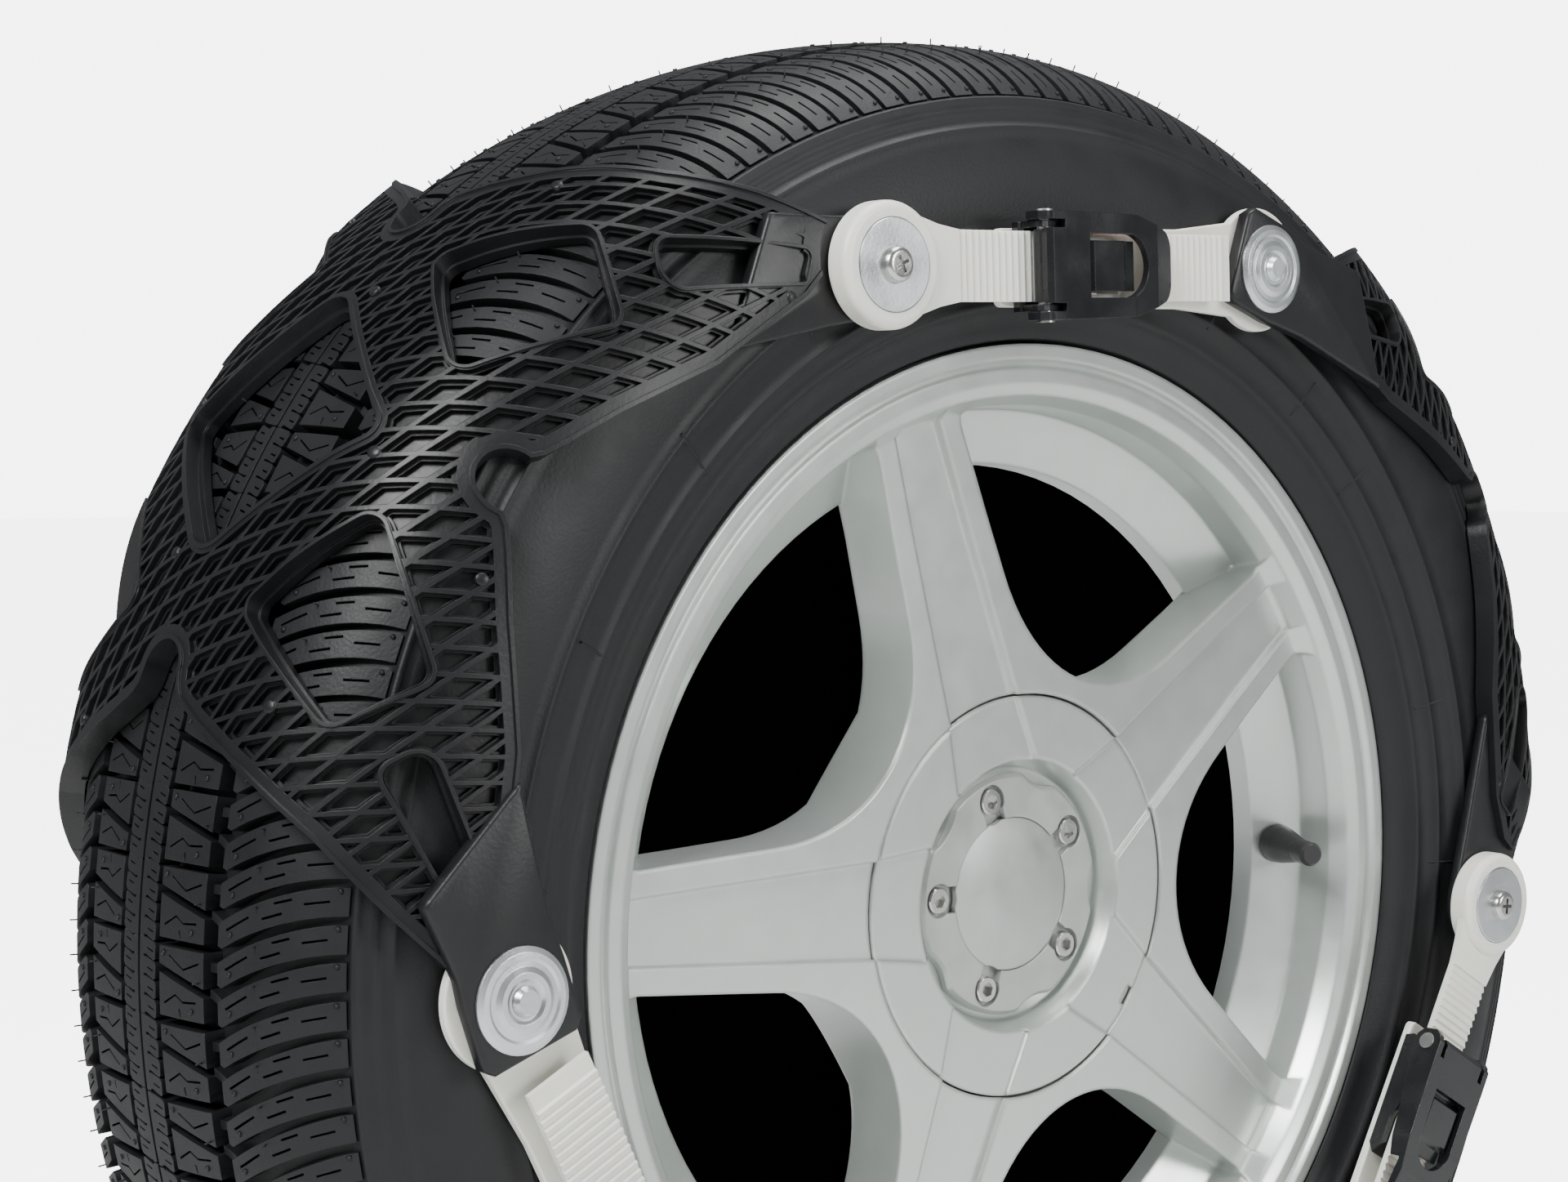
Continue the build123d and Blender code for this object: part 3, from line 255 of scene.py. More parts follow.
def levelled(loops, level_of, place, skirt):
    """Mesh with flat levels, from closed loops in a plane.

    The plane is triangulated along the loops. Each triangle takes the level of its middle, and walls
    join the levels. An edge beside NOTHING gets a wall down to the skirt level. place turns plane
    points and a level into points in space.
    """
    points, edges = [], []
    for loop in loops:
        first = len(points)
        points.extend(Vector((float(x), float(y))) for x, y in loop)
        edges.extend((first + i, first + (i + 1) % len(loop)) for i in range(len(loop)))
    result = delaunay_2d_cdt(points, edges, [], 0, MERGE, False)
    flat = np.array([tuple(v) for v in result[0]])
    faces = np.array(result[2])
    a, b, c = flat[faces[:, 0]], flat[faces[:, 1]], flat[faces[:, 2]]
    area = (b[:, 0] - a[:, 0]) * (c[:, 1] - a[:, 1]) - (b[:, 1] - a[:, 1]) * (c[:, 0] - a[:, 0])
    faces = np.where((area < 0)[:, None], faces[:, ::-1], faces)[np.abs(area) > SLIVER]
    level = level_of(flat[faces].mean(1))
    parts = Parts()
    for value in sorted(set(level.tolist()) - {NOTHING}):
        used, local = np.unique(faces[level == value], return_inverse=True)
        parts.add(place(flat[used], value), local.reshape(-1, 3).tolist())
    sides = {}
    for f, value in zip(faces.tolist(), level.tolist()):
        for i in range(3):
            sides[(f[i], f[(i + 1) % 3])] = value
    walls = {}
    for (u, v), high in sides.items():
        low = sides.get((v, u), NOTHING)
        if high > low:
            walls.setdefault((high, low), []).append((u, v))
    for (high, low), found in walls.items():
        used, local = np.unique(np.array(found), return_inverse=True)
        n = len(used)
        top = place(flat[used], high)
        bottom = place(flat[used], skirt if low == NOTHING else low)
        quads = [(v, u, u + n, v + n) for u, v in local.reshape(-1, 2).tolist()]
        parts.add(np.concatenate([top, bottom]), quads)
    return parts, flat, faces, level


# ---- materials ----------------------------------------------------------------------------
NOISE_RANGE = (0.3, 0.7)  # where most of a noise texture's values lie
CLOUD_SHARE = 0.06  # scale of the broad noise, as a share of the fine one's
COAT_ROUGHNESS = 0.12
SUBSURFACE_SCALE = 0.004  # metres
LEAST_ROUGHNESS = 0.05
BUMP_DISTANCE = 0.001  # metres
BEVEL_SAMPLES = 4


def set_inputs(node, values):
    for socket, value in values.items():
        node.inputs[socket].default_value = value


def material(name, colour, rough, metal=0.0, coat=0.0, grain=400.0, bump=0.05, mottling=0.12,
             bevel=0.4, spread=0.12, subsurface=0.0, specular=0.5):
    """Procedural surface: mottled colour, uneven roughness, fine grain and softened edges.

    grain is the fine noise's scale, mottling and spread say how far colour and roughness vary, and
    bevel is the radius, in mm, to which edges look rounded.
    """
    mat = bpy.data.materials.new(name)
    mat.use_nodes = True
    nodes, links = mat.node_tree.nodes, mat.node_tree.links
    shader = nodes["Principled BSDF"]
    set_inputs(shader, {
        "Base Color": (*colour, 1),
        "Roughness": rough,
        "Metallic": metal,
        "Coat Weight": coat,
        "Coat Roughness": COAT_ROUGHNESS,
        "Specular IOR Level": specular,
    })
    if subsurface:
        set_inputs(shader, {"Subsurface Weight": subsurface, "Subsurface Scale": SUBSURFACE_SCALE})
    place = nodes.new("ShaderNodeTexCoord")

    def noise(scale, detail):
        node = nodes.new("ShaderNodeTexNoise")
        set_inputs(node, {"Scale": scale, "Detail": detail})
        links.new(place.outputs["Object"], node.inputs["Vector"])
        return node.outputs["Fac"]

    def between(source, low, high):
        node = nodes.new("ShaderNodeMapRange")
        set_inputs(node, {
            "From Min": NOISE_RANGE[0], "From Max": NOISE_RANGE[1], "To Min": low, "To Max": high,
        })
        links.new(source, node.inputs["Value"])
        return node.outputs["Result"]

    cloud, fine = noise(grain * CLOUD_SHARE, 5), noise(grain, 3)
    mix = nodes.new("ShaderNodeVectorMath")
    mix.operation = "SCALE"
    mix.inputs[0].default_value = colour
    links.new(between(cloud, 1 - mottling, 1 + mottling), mix.inputs["Scale"])
    links.new(mix.outputs["Vector"], shader.inputs["Base Color"])
    dull = between(cloud, max(LEAST_ROUGHNESS, rough - spread), min(1.0, rough + spread))
    links.new(dull, shader.inputs["Roughness"])
    soft = nodes.new("ShaderNodeBevel")
    soft.samples = BEVEL_SAMPLES
    soft.inputs["Radius"].default_value = bevel / MM_PER_M
    rise = nodes.new("ShaderNodeBump")
    set_inputs(rise, {"Strength": bump, "Distance": BUMP_DISTANCE})
    links.new(fine, rise.inputs["Height"])
    links.new(soft.outputs["Normal"], rise.inputs["Normal"])
    links.new(rise.outputs["Normal"], shader.inputs["Normal"])
    return mat


TYRE = material(
    "tyre_rubber_look", (0.009, 0.0095, 0.0105), 0.50,
    grain=900, bump=0.12, mottling=0.15, bevel=0.35, spread=0.05, specular=0.32,
)
PANEL = material(
    "panel_rubber_look", (0.007, 0.0073, 0.0082), 0.40,
    grain=700, bump=0.08, mottling=0.1, bevel=0.35, spread=0.04, specular=0.38,
)
PAINT = material(
    "silver_paint_look", (0.57, 0.61, 0.58), 0.30,
    metal=0.68, coat=0.25, grain=1500, bump=0.02, mottling=0.02, bevel=2.2, spread=0.02,
)
CAP_PAINT = material(
    "cap_paint_look", (0.46, 0.48, 0.46), 0.38,
    metal=0.6, coat=0.2, grain=1300, bump=0.03, mottling=0.05, bevel=0.8, spread=0.06,
)
STEEL = material(
    "bright_steel_look", (0.60, 0.60, 0.58), 0.24,
    metal=1.0, grain=1200, bump=0.03, mottling=0.06, bevel=0.2,
)
ZINC = material(
    "zinc_look", (0.60, 0.63, 0.64), 0.34,
    metal=0.95, grain=700, bump=0.05, mottling=0.12, bevel=0.3, spread=0.1,
)
NYLON = material(
    "nylon_look", (0.80, 0.80, 0.73), 0.38,
    grain=500, bump=0.03, mottling=0.03, bevel=0.35, spread=0.06, subsurface=0.25,
)
PLASTIC = material(
    "black_plastic_look", (0.008, 0.0085, 0.0095), 0.26,
    grain=800, bump=0.05, mottling=0.1, bevel=0.5,
)
VALVE = material(
    "valve_rubber_look", (0.016, 0.016, 0.017), 0.45, grain=900, bump=0.08, bevel=0.3,
)
BRASS = material("brass_look", (0.62, 0.47, 0.22), 0.3, metal=1.0, grain=900, bump=0.03, bevel=0.2)


def look_of(node):
    if node == "tyre":
        return TYRE
    if node in ("alloy_rim", "hub_cover"):
        return PAINT
    if node in ("centre_cap", "cap_medallion"):
        return CAP_PAINT
    if node.startswith("tread_panel"):
        return PANEL
    if node.startswith(("ladder_strap", "base_strap", "inner_band")):
        return NYLON
    if node.startswith(("ring_washer", "dome_", "ring_nut", "inner_rivets")):
        return ZINC
    if node.startswith(("buckle_base", "buckle_lever", "release_tab")):
        return PLASTIC
    if node in ("valve_stem", "valve_cap"):
        return VALVE
    return BRASS if node == "valve_core" else STEEL


for name, node in NODES.items():
    node.data.materials.clear()
    node.data.materials.append(look_of(name))

# ---- rubber panels ------------------------------------------------------------------------
# A panel is drawn flat and wrapped on the tyre. A place on its chart is the angle round the wheel from
# the panel's centre, in degrees, and the distance along the tyre's profile from its middle, in mm.
PANEL_R = 332.0
FAN, FAN_LENGTH = 0.7, 60.0  # how far the arms fan out when flat, and over what length
INVERSE_ROUNDS = 60
LATTICE_TURNS = (math.radians(24.0), math.radians(62.0))  # directions across the two sets of ribs
LATTICE_PITCH = 8.5
LATTICE_START = (-16.6, 54.6)  # a crossing of two ribs
LATTICE_REACH = 45  # cells counted each way from there
RIB, LEDGE = 1.5, 0.9  # width of a rib, and of the step beside it
BORDER, LIP = 5.0, 1.5  # width of the panel's border, and of the raised lip on its edge
FLOOR, SILL, STEP, TOP, BEAD, BOTTOM = 0, 1, 2, 3, 4, 9
PANEL_HEIGHT = {FLOOR: 4.4, SILL: 4.0, STEP: 6.4, TOP: 8.5, BEAD: 9.2, BOTTOM: 0.6}
LINE_STEP, CELL_STEP, NOTCH_STEP = 4, 4.6, 3  # between points on the panel's lines

CENTRE_WINDOW = ((0, 56.5), (9.0, 0), (0, -56.5), (-9.0, 0)), (6, 12, 6, 12)  # corners, radii
SIDE_WINDOWS = (  # each is repeated in the four quarters
    (((11.5, 32.5), (17.2, 72), (13, 96.5), (4.5, 66.5)), (5, 5, 5, 5)),
    (((19, 87), (16.8, 99.5), (26.5, 125.5), (28.3, 118.5)), (5, 7, 2.5, 2.5)),
)
CENTRE_FRAME, SIDE_FRAME = (1.6, 3.2, 2.2), (1.1, 1.5, 0.9)  # widths of lip, frame and inner sill
CLEAR_OF_EDGE = 12  # lattice cells with their middle this far past an edge aren't drawn
SIDE_NOTCH, LOW_NOTCH = 15.5, 95.5  # degrees, mm
NOTCHES = ((SIDE_NOTCH, 0), (-SIDE_NOTCH, 0), (0, LOW_NOTCH), (0, -LOW_NOTCH))
NOTCH_R, NOTCH_HALF_DEGREES = 10.0, (1.73, 1.95)
NOTCH_RIM_R, NOTCH_RIM = 16.5, 4.6  # the thick rim round a notch
DISC_R, SMOOTH_R = 26.0, 33.0  # the corner's hole for its tab, and the smooth rubber round it
PEGS = ((-16.6, 54.3), (-1.5, 57.5), (-6.3, 99.6), (8.8, 15.6), (18.8, 52.0), (24.7, 126.7))
PEG_RINGS = ((2.1, 6.0), (2.1, 8.7), (1.7, 9.0))  # radius, height
PEG_SIDES, NOTCH_SIDES, DISC_SIDES = 12, 40, 48


def to_flat(places):
    """Chart places laid flat; the arms fan out as they do when the panel is off the tyre."""
    places = np.asarray(places, float)
    phi, s = np.radians(places[:, 0]), places[:, 1]
    f = FAN * np.tanh(s / FAN_LENGTH)
    big = FAN * FAN_LENGTH * np.log(np.cosh(s / FAN_LENGTH))
    return np.stack([phi * (PANEL_R - big), -(s + f * PANEL_R * phi**2 / 2)], 1)


def from_flat(points):
    """Angles and lengths on the chart, from flat points."""
    x, v = points[:, 0], -points[:, 1]
    s = v.copy()
    for _ in range(INVERSE_ROUNDS):
        phi = x / (PANEL_R - FAN * FAN_LENGTH * np.log(np.cosh(s / FAN_LENGTH)))
        s = v - FAN * np.tanh(s / FAN_LENGTH) * PANEL_R * phi**2 / 2
    return np.degrees(phi), s


def quadrant():
    """Outline of a quarter of the panel on its chart, from the side notch to the low notch."""
    wide, tall = NOTCH_HALF_DEGREES
    side = [
        (SIDE_NOTCH - wide * math.cos(a), NOTCH_R * math.sin(a))
        for a in np.linspace(0, math.pi / 2, 9)
    ]
    arm = [(16.3, 11.2), (16.9, 13.6), (17.3, 17.0), (18.1, 25), (20.2, 48.5), (23.3, 73.5), (27.0, 93.5)]
    flap = [(31.5, 117), (30.2, 124), (26.0, 129), (16.0, 126), (8.0, 112), (4.0, 104.0), (2.6, 100.5)]
    low = [
        (tall * math.sin(a), LOW_NOTCH - NOTCH_R * math.cos(a)) for a in np.linspace(1.75, 0, 9)
    ]
    return side + arm + flap + low


QUARTER = quadrant()
OUTLINE_CHART = (
    QUARTER
    + [(-a, s) for a, s in reversed(QUARTER)]
    + [(-a, -s) for a, s in QUARTER]
    + [(a, -s) for a, s in reversed(QUARTER)]
)


def disc_loop(corner, centre, radius, street):
    """Circle round a corner disc, as seen along the axis, in flat coordinates."""
    x, z = (np.array(corner_xz(corner)) + radius * circle(DISC_SIDES)).T
    table = np.linspace(60, 175, 400)
    _, r = surface_dr(table, PANEL_HEIGHT[TOP])
    length = np.interp(-np.hypot(x, z), -r, table)
    turn = np.degrees(np.arctan2(x, z)) - centre
    turn = (turn + 180) % 360 - 180
    return to_flat(np.stack([turn, length - PANEL_SHIFT if street else -(length + PANEL_SHIFT)], 1))


def peg(middle, centre):
    """Small round moulding peg on the ribs."""
    rings = []
    for radius, height in PEG_RINGS:
        phi, s = from_flat(middle + radius * circle(PEG_SIDES))
        rings.append(on_tyre(centre + phi, s + PANEL_SHIFT, height))
    faces = grid_faces(len(PEG_RINGS), PEG_SIDES, wrap=True)
    faces.append([(len(PEG_RINGS) - 1) * PEG_SIDES + i for i in range(PEG_SIDES)])
    return np.concatenate(rings), faces


def panel_windows():
    """Openings of a panel as flat loops, the middle one first."""
    corners, radii = CENTRE_WINDOW
    windows = [rounded(to_flat(corners), radii)]
    for flip in (-1, 1):
        for up in (-1, 1):
            for corners, radii in SIDE_WINDOWS:
                windows.append(rounded(to_flat([(flip * a, up * s) for a, s in corners]), radii))
    return windows


def panel_mesh(number):
    """One panel: a thick sheet with a lattice of stepped ribs, framed windows and rimmed notches."""
    centre = PANEL_CENTRES[number]
    outline = to_flat(OUTLINE_CHART)
    outline = outline[np.hypot(*(outline - np.roll(outline, 1, 0)).T) > 0.3]
    windows = panel_windows()
    frames = [CENTRE_FRAME] + [SIDE_FRAME] * (len(windows) - 1)
    notches = [to_flat([place])[0] + NOTCH_RIM_R * circle(NOTCH_SIDES) for place in NOTCHES]
    discs, smooth = (
        [
            disc_loop(corner, centre, radius, street)
            for corner in (RING_CORNERS[number], DOME_CORNERS[number])
            for street in (True, False)
        ]
        for radius in (DISC_R, SMOOTH_R)
    )
    origin = to_flat([LATTICE_START])[0]
    normals = np.array([(math.cos(t), math.sin(t)) for t in LATTICE_TURNS])
    solve = np.linalg.inv(normals) * LATTICE_PITCH
    half, step = RIB / 2 / LATTICE_PITCH, (RIB / 2 + LEDGE) / LATTICE_PITCH

    loops = [dense(loop, LINE_STEP) for loop in [outline] + windows + discs + smooth]
    for amount in (LIP, BORDER, BORDER + LEDGE):
        loops.append(dense(offset_loop(outline, amount, True), LINE_STEP))
    for w, (lip, frame_width, sill) in zip(windows, frames):
        for amount in (lip, frame_width, frame_width + LEDGE):
            loops.append(dense(offset_loop(w, amount, False), LINE_STEP))
        loops.append(dense(offset_loop(w, sill, True), LINE_STEP))
    for notch in notches:
        loops.append(dense(notch, NOTCH_STEP))
    reach = range(-LATTICE_REACH, LATTICE_REACH)
    cells = np.array([(i, j) for i in reach for j in reach], float)
    middles = (solve @ (cells + 0.5).T).T + origin
    in_hole = inside(middles, windows[0]) & (distance(middles, windows[0]) > CLEAR_OF_EDGE)
    near = (inside(middles, outline) | (distance(middles, outline) < CLEAR_OF_EDGE)) & ~in_hole
    for i, j in cells[near]:
        for inset in (half, step):
            corners = (
                (i + inset, j + inset), (i + 1 - inset, j + inset),
                (i + 1 - inset, j + 1 - inset), (i + inset, j + 1 - inset),
            )
            loops.append(dense([solve @ np.array(c) + origin for c in corners], CELL_STEP))

    def level_of(points):
        uv = (np.linalg.inv(solve) @ (points - origin).T).T
        off_rib = np.abs(uv - np.round(uv)).min(1)
        level = np.where(off_rib < half, TOP, np.where(off_rib < step, STEP, FLOOR))
        out_d = distance(points, outline)
        level = np.where(out_d < BORDER + LEDGE, np.maximum(level, STEP), level)
        level = np.where(out_d < BORDER, TOP, level)
        level = np.where(out_d < LIP, BEAD, level)
        for w, (lip, frame_width, sill) in zip(windows, frames):
            d = distance(points, w)
            within = inside(points, w)
            level = np.where(~within & (d < frame_width + LEDGE), np.maximum(level, STEP), level)
            level = np.where(~within & (d < frame_width), np.maximum(level, TOP), level)
            level = np.where(~within & (d < lip), BEAD, level)
            level = np.where(within & (d < sill), SILL, level)
            level = np.where(within & (d >= sill), NOTHING, level)
        for notch in notches:
            ring = inside(points, notch) & (out_d >= LIP)
            level = np.where(ring & (out_d < NOTCH_RIM), TOP, level)
            level = np.where(ring & (out_d >= NOTCH_RIM) & (level < TOP), STEP, level)
        for c in smooth:
            level = np.where(inside(points, c) & (level != NOTHING) & (level != BEAD), TOP, level)
        for c in discs:
            level = np.where(inside(points, c), NOTHING, level)
        return np.where(inside(points, outline), level, NOTHING)

    def place(points, level):
        phi, s = from_flat(points)
        return on_tyre(centre + phi, s + PANEL_SHIFT, PANEL_HEIGHT[level])

    parts, flat, faces, level = levelled(loops, level_of, place, BOTTOM)
    used, local = np.unique(faces[level != NOTHING], return_inverse=True)
    parts.add(place(flat[used], BOTTOM), local.reshape(-1, 3)[:, ::-1].tolist())
    for phi, length in PEGS:
        for flip in (1, -1):
            middle = to_flat([(flip * phi, flip * length)])[0]
            parts.add(*peg(middle, centre))
    return parts.object("lattice_panel_%d" % (number + 1), PANEL)


for number in range(3):
    panel = panel_mesh(number)
    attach(panel, "root")
    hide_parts("tread_panel_%d" % (number + 1))

# ---- panel corners ------------------------------------------------------------------------
TAB_FOOT = ((26.5, 99), (18.0, 127))  # chart places where a tab leaves its panel, outer and inner
TAB_FOOT_HEIGHT = 3.0
TAB_HEIGHTS, BLOCK_HEIGHTS = (96.7, 101.9), (100.2, 106.2)  # from the tyre's middle plane
TAB_MIDDLE = 99.3
TAB_END_R, TAB_HALF_WIDTH = 17.5, 19.0
WAIST_FOOT, WAIST_HUB, WAIST_IN = 0.35, 0.65, 1.5  # where a tab's waist is, and its depth
BLOCK_CORNERS = ((19.5, -6), (19.5, 15), (16, 18.5), (-16, 18.5), (-19.5, 15), (-19.5, -6))
TAB_SOFT, TAB_STEP = 1.2, 3.0  # radius of a tab's edges, and the distance between its points


def slab(loop, low, high, soft, out):
    """Flat rubber plate with rounded edges: an outline in the wheel's plane between two heights."""
    loop = dense(loop, TAB_STEP)
    if signed_area(loop) < 0:
        loop = loop[::-1]
    before, after = loop - np.roll(loop, 1, 0), np.roll(loop, -1, 0) - loop
    normal = np.stack([-(before + after)[:, 1], (before + after)[:, 0]], 1)
    normal /= np.hypot(*normal.T)[:, None]
    profile = (
        (soft, low), (0.3 * soft, low + 0.3 * soft), (0, low + soft),
        (0, high - soft), (0.3 * soft, high - 0.3 * soft), (soft, high),
    )
    rings = []
    for inset, height in profile:
        edge = loop + normal * inset
        level = np.full(len(edge), WHEEL_OFFSET - out * height)
        rings.append(np.stack([edge[:, 0], level, edge[:, 1]], 1))
    n = len(loop)
    faces = grid_faces(len(rings), n, wrap=True)
    faces.append(list(range(n))[::-1])
    faces.append([(len(rings) - 1) * n + i for i in range(n)])
    # The plate's top has to face away from the wheel on whichever side it lies.
    if out > 0:
        faces = [f[::-1] for f in faces]
    return np.concatenate(rings), faces


def corner_tab(name, number, kind, street):
    """The smooth corner of a panel, from its flap to under the disc."""
    flip = 1 if kind == "ring" else -1
    sign = 1 if street else -1
    hub = np.array(corner_xz((RING_CORNERS if kind == "ring" else DOME_CORNERS)[number]))
    feet = [
        on_tyre(PANEL_CENTRES[number] + flip * a, sign * s + PANEL_SHIFT, TAB_FOOT_HEIGHT)
        for a, s in TAB_FOOT
    ]
    outer, inner = (np.array([p[0], p[2]]) for p in feet)
    along = hub - (outer + inner) / 2
    along /= np.hypot(*along)
    across = np.array([-along[1], along[0]])
    if (outer - inner) @ across < 0:
        across = -across
    waist_out = outer * WAIST_FOOT + (hub + across * TAB_HALF_WIDTH) * WAIST_HUB - across * WAIST_IN
    waist_in = inner * WAIST_FOOT + (hub - across * TAB_HALF_WIDTH) * WAIST_HUB + across * WAIST_IN
    if kind == "dome" and street:
        heights = BLOCK_HEIGHTS
        end = [hub + across * a + along * b for a, b in BLOCK_CORNERS]
    else:
        heights = TAB_HEIGHTS
        end = [
            hub + TAB_END_R * (math.cos(t) * across + math.sin(t) * along)
            for t in np.linspace(0.15, math.pi - 0.15, 16)
        ]
    loop = [outer, waist_out, *end, waist_in, inner]
    points, faces = slab(loop, *heights, TAB_SOFT, sign)
    return mesh_object(name, points, faces, PANEL), (outer + inner) / 2, hub


for number in range(3):
    for kind in ("ring", "dome"):
        for street in (True, False):
            name = "%s_corner_%s_%d" % (kind, "street" if street else "inner", number + 1)
            tab, start, hub = corner_tab(name, number, kind, street)
            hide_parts("tread_panel_%d" % (number + 1))
            if kind == "ring" and street:
                # This corner is only baked in place and not attached to a body; points from its foot
                # towards its end on the ring are worked out but not used.
                away = (hub - start) / np.hypot(*(hub - start))
                a, b = start + away * 2, hub - away * 14
                y = (WHEEL_OFFSET - TAB_MIDDLE) / 1000
                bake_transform(tab)
            else:
                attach(tab, "root")

# ---- tyre ---------------------------------------------------------------------------------
PITCHES = 82
PITCH = 2 * math.pi * TYRE_R / PITCHES
PITCH_SWAY, PITCH_WAVES = 0.06, 7  # the pitches' spacing varies a little, so many times round
SIPE, TIE, BLOCK, SKIRT = 0, 1, 2, 9
SIPE_DEPTH, TIE_DEPTH, LEAST_FLOOR, SKIRT_DEPTH = 5.0, 3.0, 0.4, 0.5
GROOVE_AT, GROOVE_DEPTH = (0, 46, 88, 91.5), (7.5, 7.5, 2.2, 0.0)
LUG_TOP, LUG_END, LUG_WIDTH = 44.0, 90.0, 8.7
LUG_DRIFT, LUG_DRIFT_POWER = 15.0, 1.7
LUG_CHAMFER = (1.6, 1.8)
SLIT, FINE_SLIT, TOOTH_SLIT = 0.8, 0.7, 0.6  # widths of the slits
TEETH = 4  # teeth of the middle rib in one pitch


def groove_depth(length):
    return np.interp(np.abs(length), GROOVE_AT, GROOVE_DEPTH)


def lean(t):
    """How far the lugs have drifted round the wheel at this distance from the middle."""
    u = np.clip((np.asarray(t, float) - LUG_TOP) / (LUG_END - LUG_TOP), 0, 1)
    return LUG_DRIFT * (1 - (1 - u) ** LUG_DRIFT_POWER)


def zigzag(points, width):
    """Thin slot that follows a bent line."""
    points = np.array(points, float)
    up, down = [], []
    for i, p in enumerate(points):
        a, b = points[max(i - 1, 0)], points[min(i + 1, len(points) - 1)]
        n = np.array([-(b - a)[1], (b - a)[0]])
        n = n / np.hypot(*n) * width / 2
        up.append(p + n)
        down.append(p - n)
    return np.array(up + down[::-1])


def lug(x0):
    """One leaning shoulder lug and its slits."""
    ts = np.linspace(LUG_TOP, LUG_END, 12)
    notch_x, notch_t = LUG_CHAMFER
    left = [(x0 + lean(t) + (notch_x if i == 0 else 0), t) for i, t in enumerate(ts)]
    left.insert(1, (x0 + lean(LUG_TOP + notch_t), LUG_TOP + notch_t))
    right = [
        (x0 + LUG_WIDTH + lean(t) + 1.0 * (t - LUG_TOP) / (LUG_END - LUG_TOP), t) for t in ts[::-1]
    ]
    slots = [
        zigzag([(x0 + 5.2 + lean(47), 47.5), (x0 + 5.6 + lean(57), 57.0)], SLIT),
        zigzag([(x0 + 3.4 + lean(62), 62.0), (x0 + 3.4 + lean(69), 69.0)], SLIT),
        zigzag([(x0 + 7.2 + lean(66), 66.0), (x0 + 7.2 + lean(72), 72.0)], SLIT),
        zigzag([(x0 + 5.0 + lean(76), 76.0), (x0 + 5.0 + lean(84), 84.0)], SLIT),
    ]
    return np.array(left + right), slots


def tread_cell():
    """Blocks, slots and ties of one pitch on the street half: lists of loops (mm round, mm across)."""
    blocks, slots = [], []
    for k in range(2):
        block, slits = lug(k * PITCH / 2)
        blocks.append(block)
        slots.extend(slits)
    blocks.append(np.array([(1.0, 13.0), (14.8, 13.0), (9.0, 37.0), (1.0, 37.0)]))
    blocks.append(np.array([(17.6, 13.0), (23.2, 13.0), (23.2, 37.0), (11.8, 37.0)]))
    slots.append(zigzag([(5.0, 15.5), (8.4, 22.0), (6.4, 26.0), (7.0, 33.0)], FINE_SLIT))
    slots.append(zigzag([(20.6, 18.5), (16.8, 26.5), (19.6, 34.5)], FINE_SLIT))
    slots.append(zigzag([(1.5, 24.5), (4.2, 24.0)], FINE_SLIT))
    ties = [
        np.array([(9.0, 36.5), (11.8, 36.5), (7.6, 44.8), (4.8, 44.8)]),
        np.array([(17.0, 36.5), (20.0, 36.5), (20.0, 44.8), (17.0, 44.8)]),
    ]
    tooth = PITCH / TEETH
    for k in range(TEETH):
        x0 = k * tooth
        x1 = x0 + tooth
        blocks.append(np.array([
            (x0 + 0.4, 0.7), (x1 - 0.8, 0.7), (x1 - 0.2, 4.4), (x1 - 1.3, 9.6),
            (x1 - 2.6, 10.6), (x0 - 0.6, 10.2), (x0 - 0.9, 9.2), (x0 + 0.6, 4.4),
        ]))
        blocks.append(np.array([(x0 - 0.1, 0.7), (x1 + 0.1, 0.7), (x1 + 0.1, 3.2), (x0 - 0.1, 3.2)]))
        slots.append(zigzag([(x0 + 2.6, 5.4), (x0 + 1.8, 9.0)], TOOTH_SLIT))
    return blocks, slots, ties


def tread_half(mirror):
    """One pitch of one half of the tread; the far half is the near one turned by 180 degrees."""
    sign = -1 if mirror else 1
    blocks, slots, ties = (
        [np.stack([loop[:, 0], -loop[:, 1]], 1) * sign for loop in group] for group in tread_cell()
    )

    def level_of(points):
        level = np.full(len(points), NOTHING)
        for t in ties:
            level[inside(points, t)] = TIE
        for b in blocks:
            level[inside(points, b)] = BLOCK
        for s in slots:
            level[inside(points, s) & (level == BLOCK)] = SIPE
        return level

    def place(points, level):
        length = -points[:, 1]
        depth = groove_depth(length)
        drop = {
            SIPE: np.minimum(SIPE_DEPTH, depth - LEAST_FLOOR),
            TIE: np.minimum(TIE_DEPTH, depth),
            BLOCK: 0 * depth,
            SKIRT: depth + SKIRT_DEPTH,
        }[level]
        return on_tyre(np.degrees(points[:, 0] / TYRE_R), length, -drop)

    loops = [dense(loop, 4.5) for loop in blocks + ties] + [dense(s, 6) for s in slots]
    parts, *_ = levelled(loops, level_of, place, SKIRT)
    return np.concatenate(parts.points), parts.faces


def nub(x, t, radius, height, sides=7):
    """Small moulding nub standing on the tread."""
    flat = np.array([x, t]) + radius * circle(sides)
    rings = [on_tyre(np.degrees(flat[:, 0] / TYRE_R), flat[:, 1], h) for h in (-0.2, height)]
    faces = [(i, (i + 1) % sides, sides + (i + 1) % sides, sides + i) for i in range(sides)]
    faces.append([sides + i for i in range(sides)])
    return np.concatenate(rings), faces


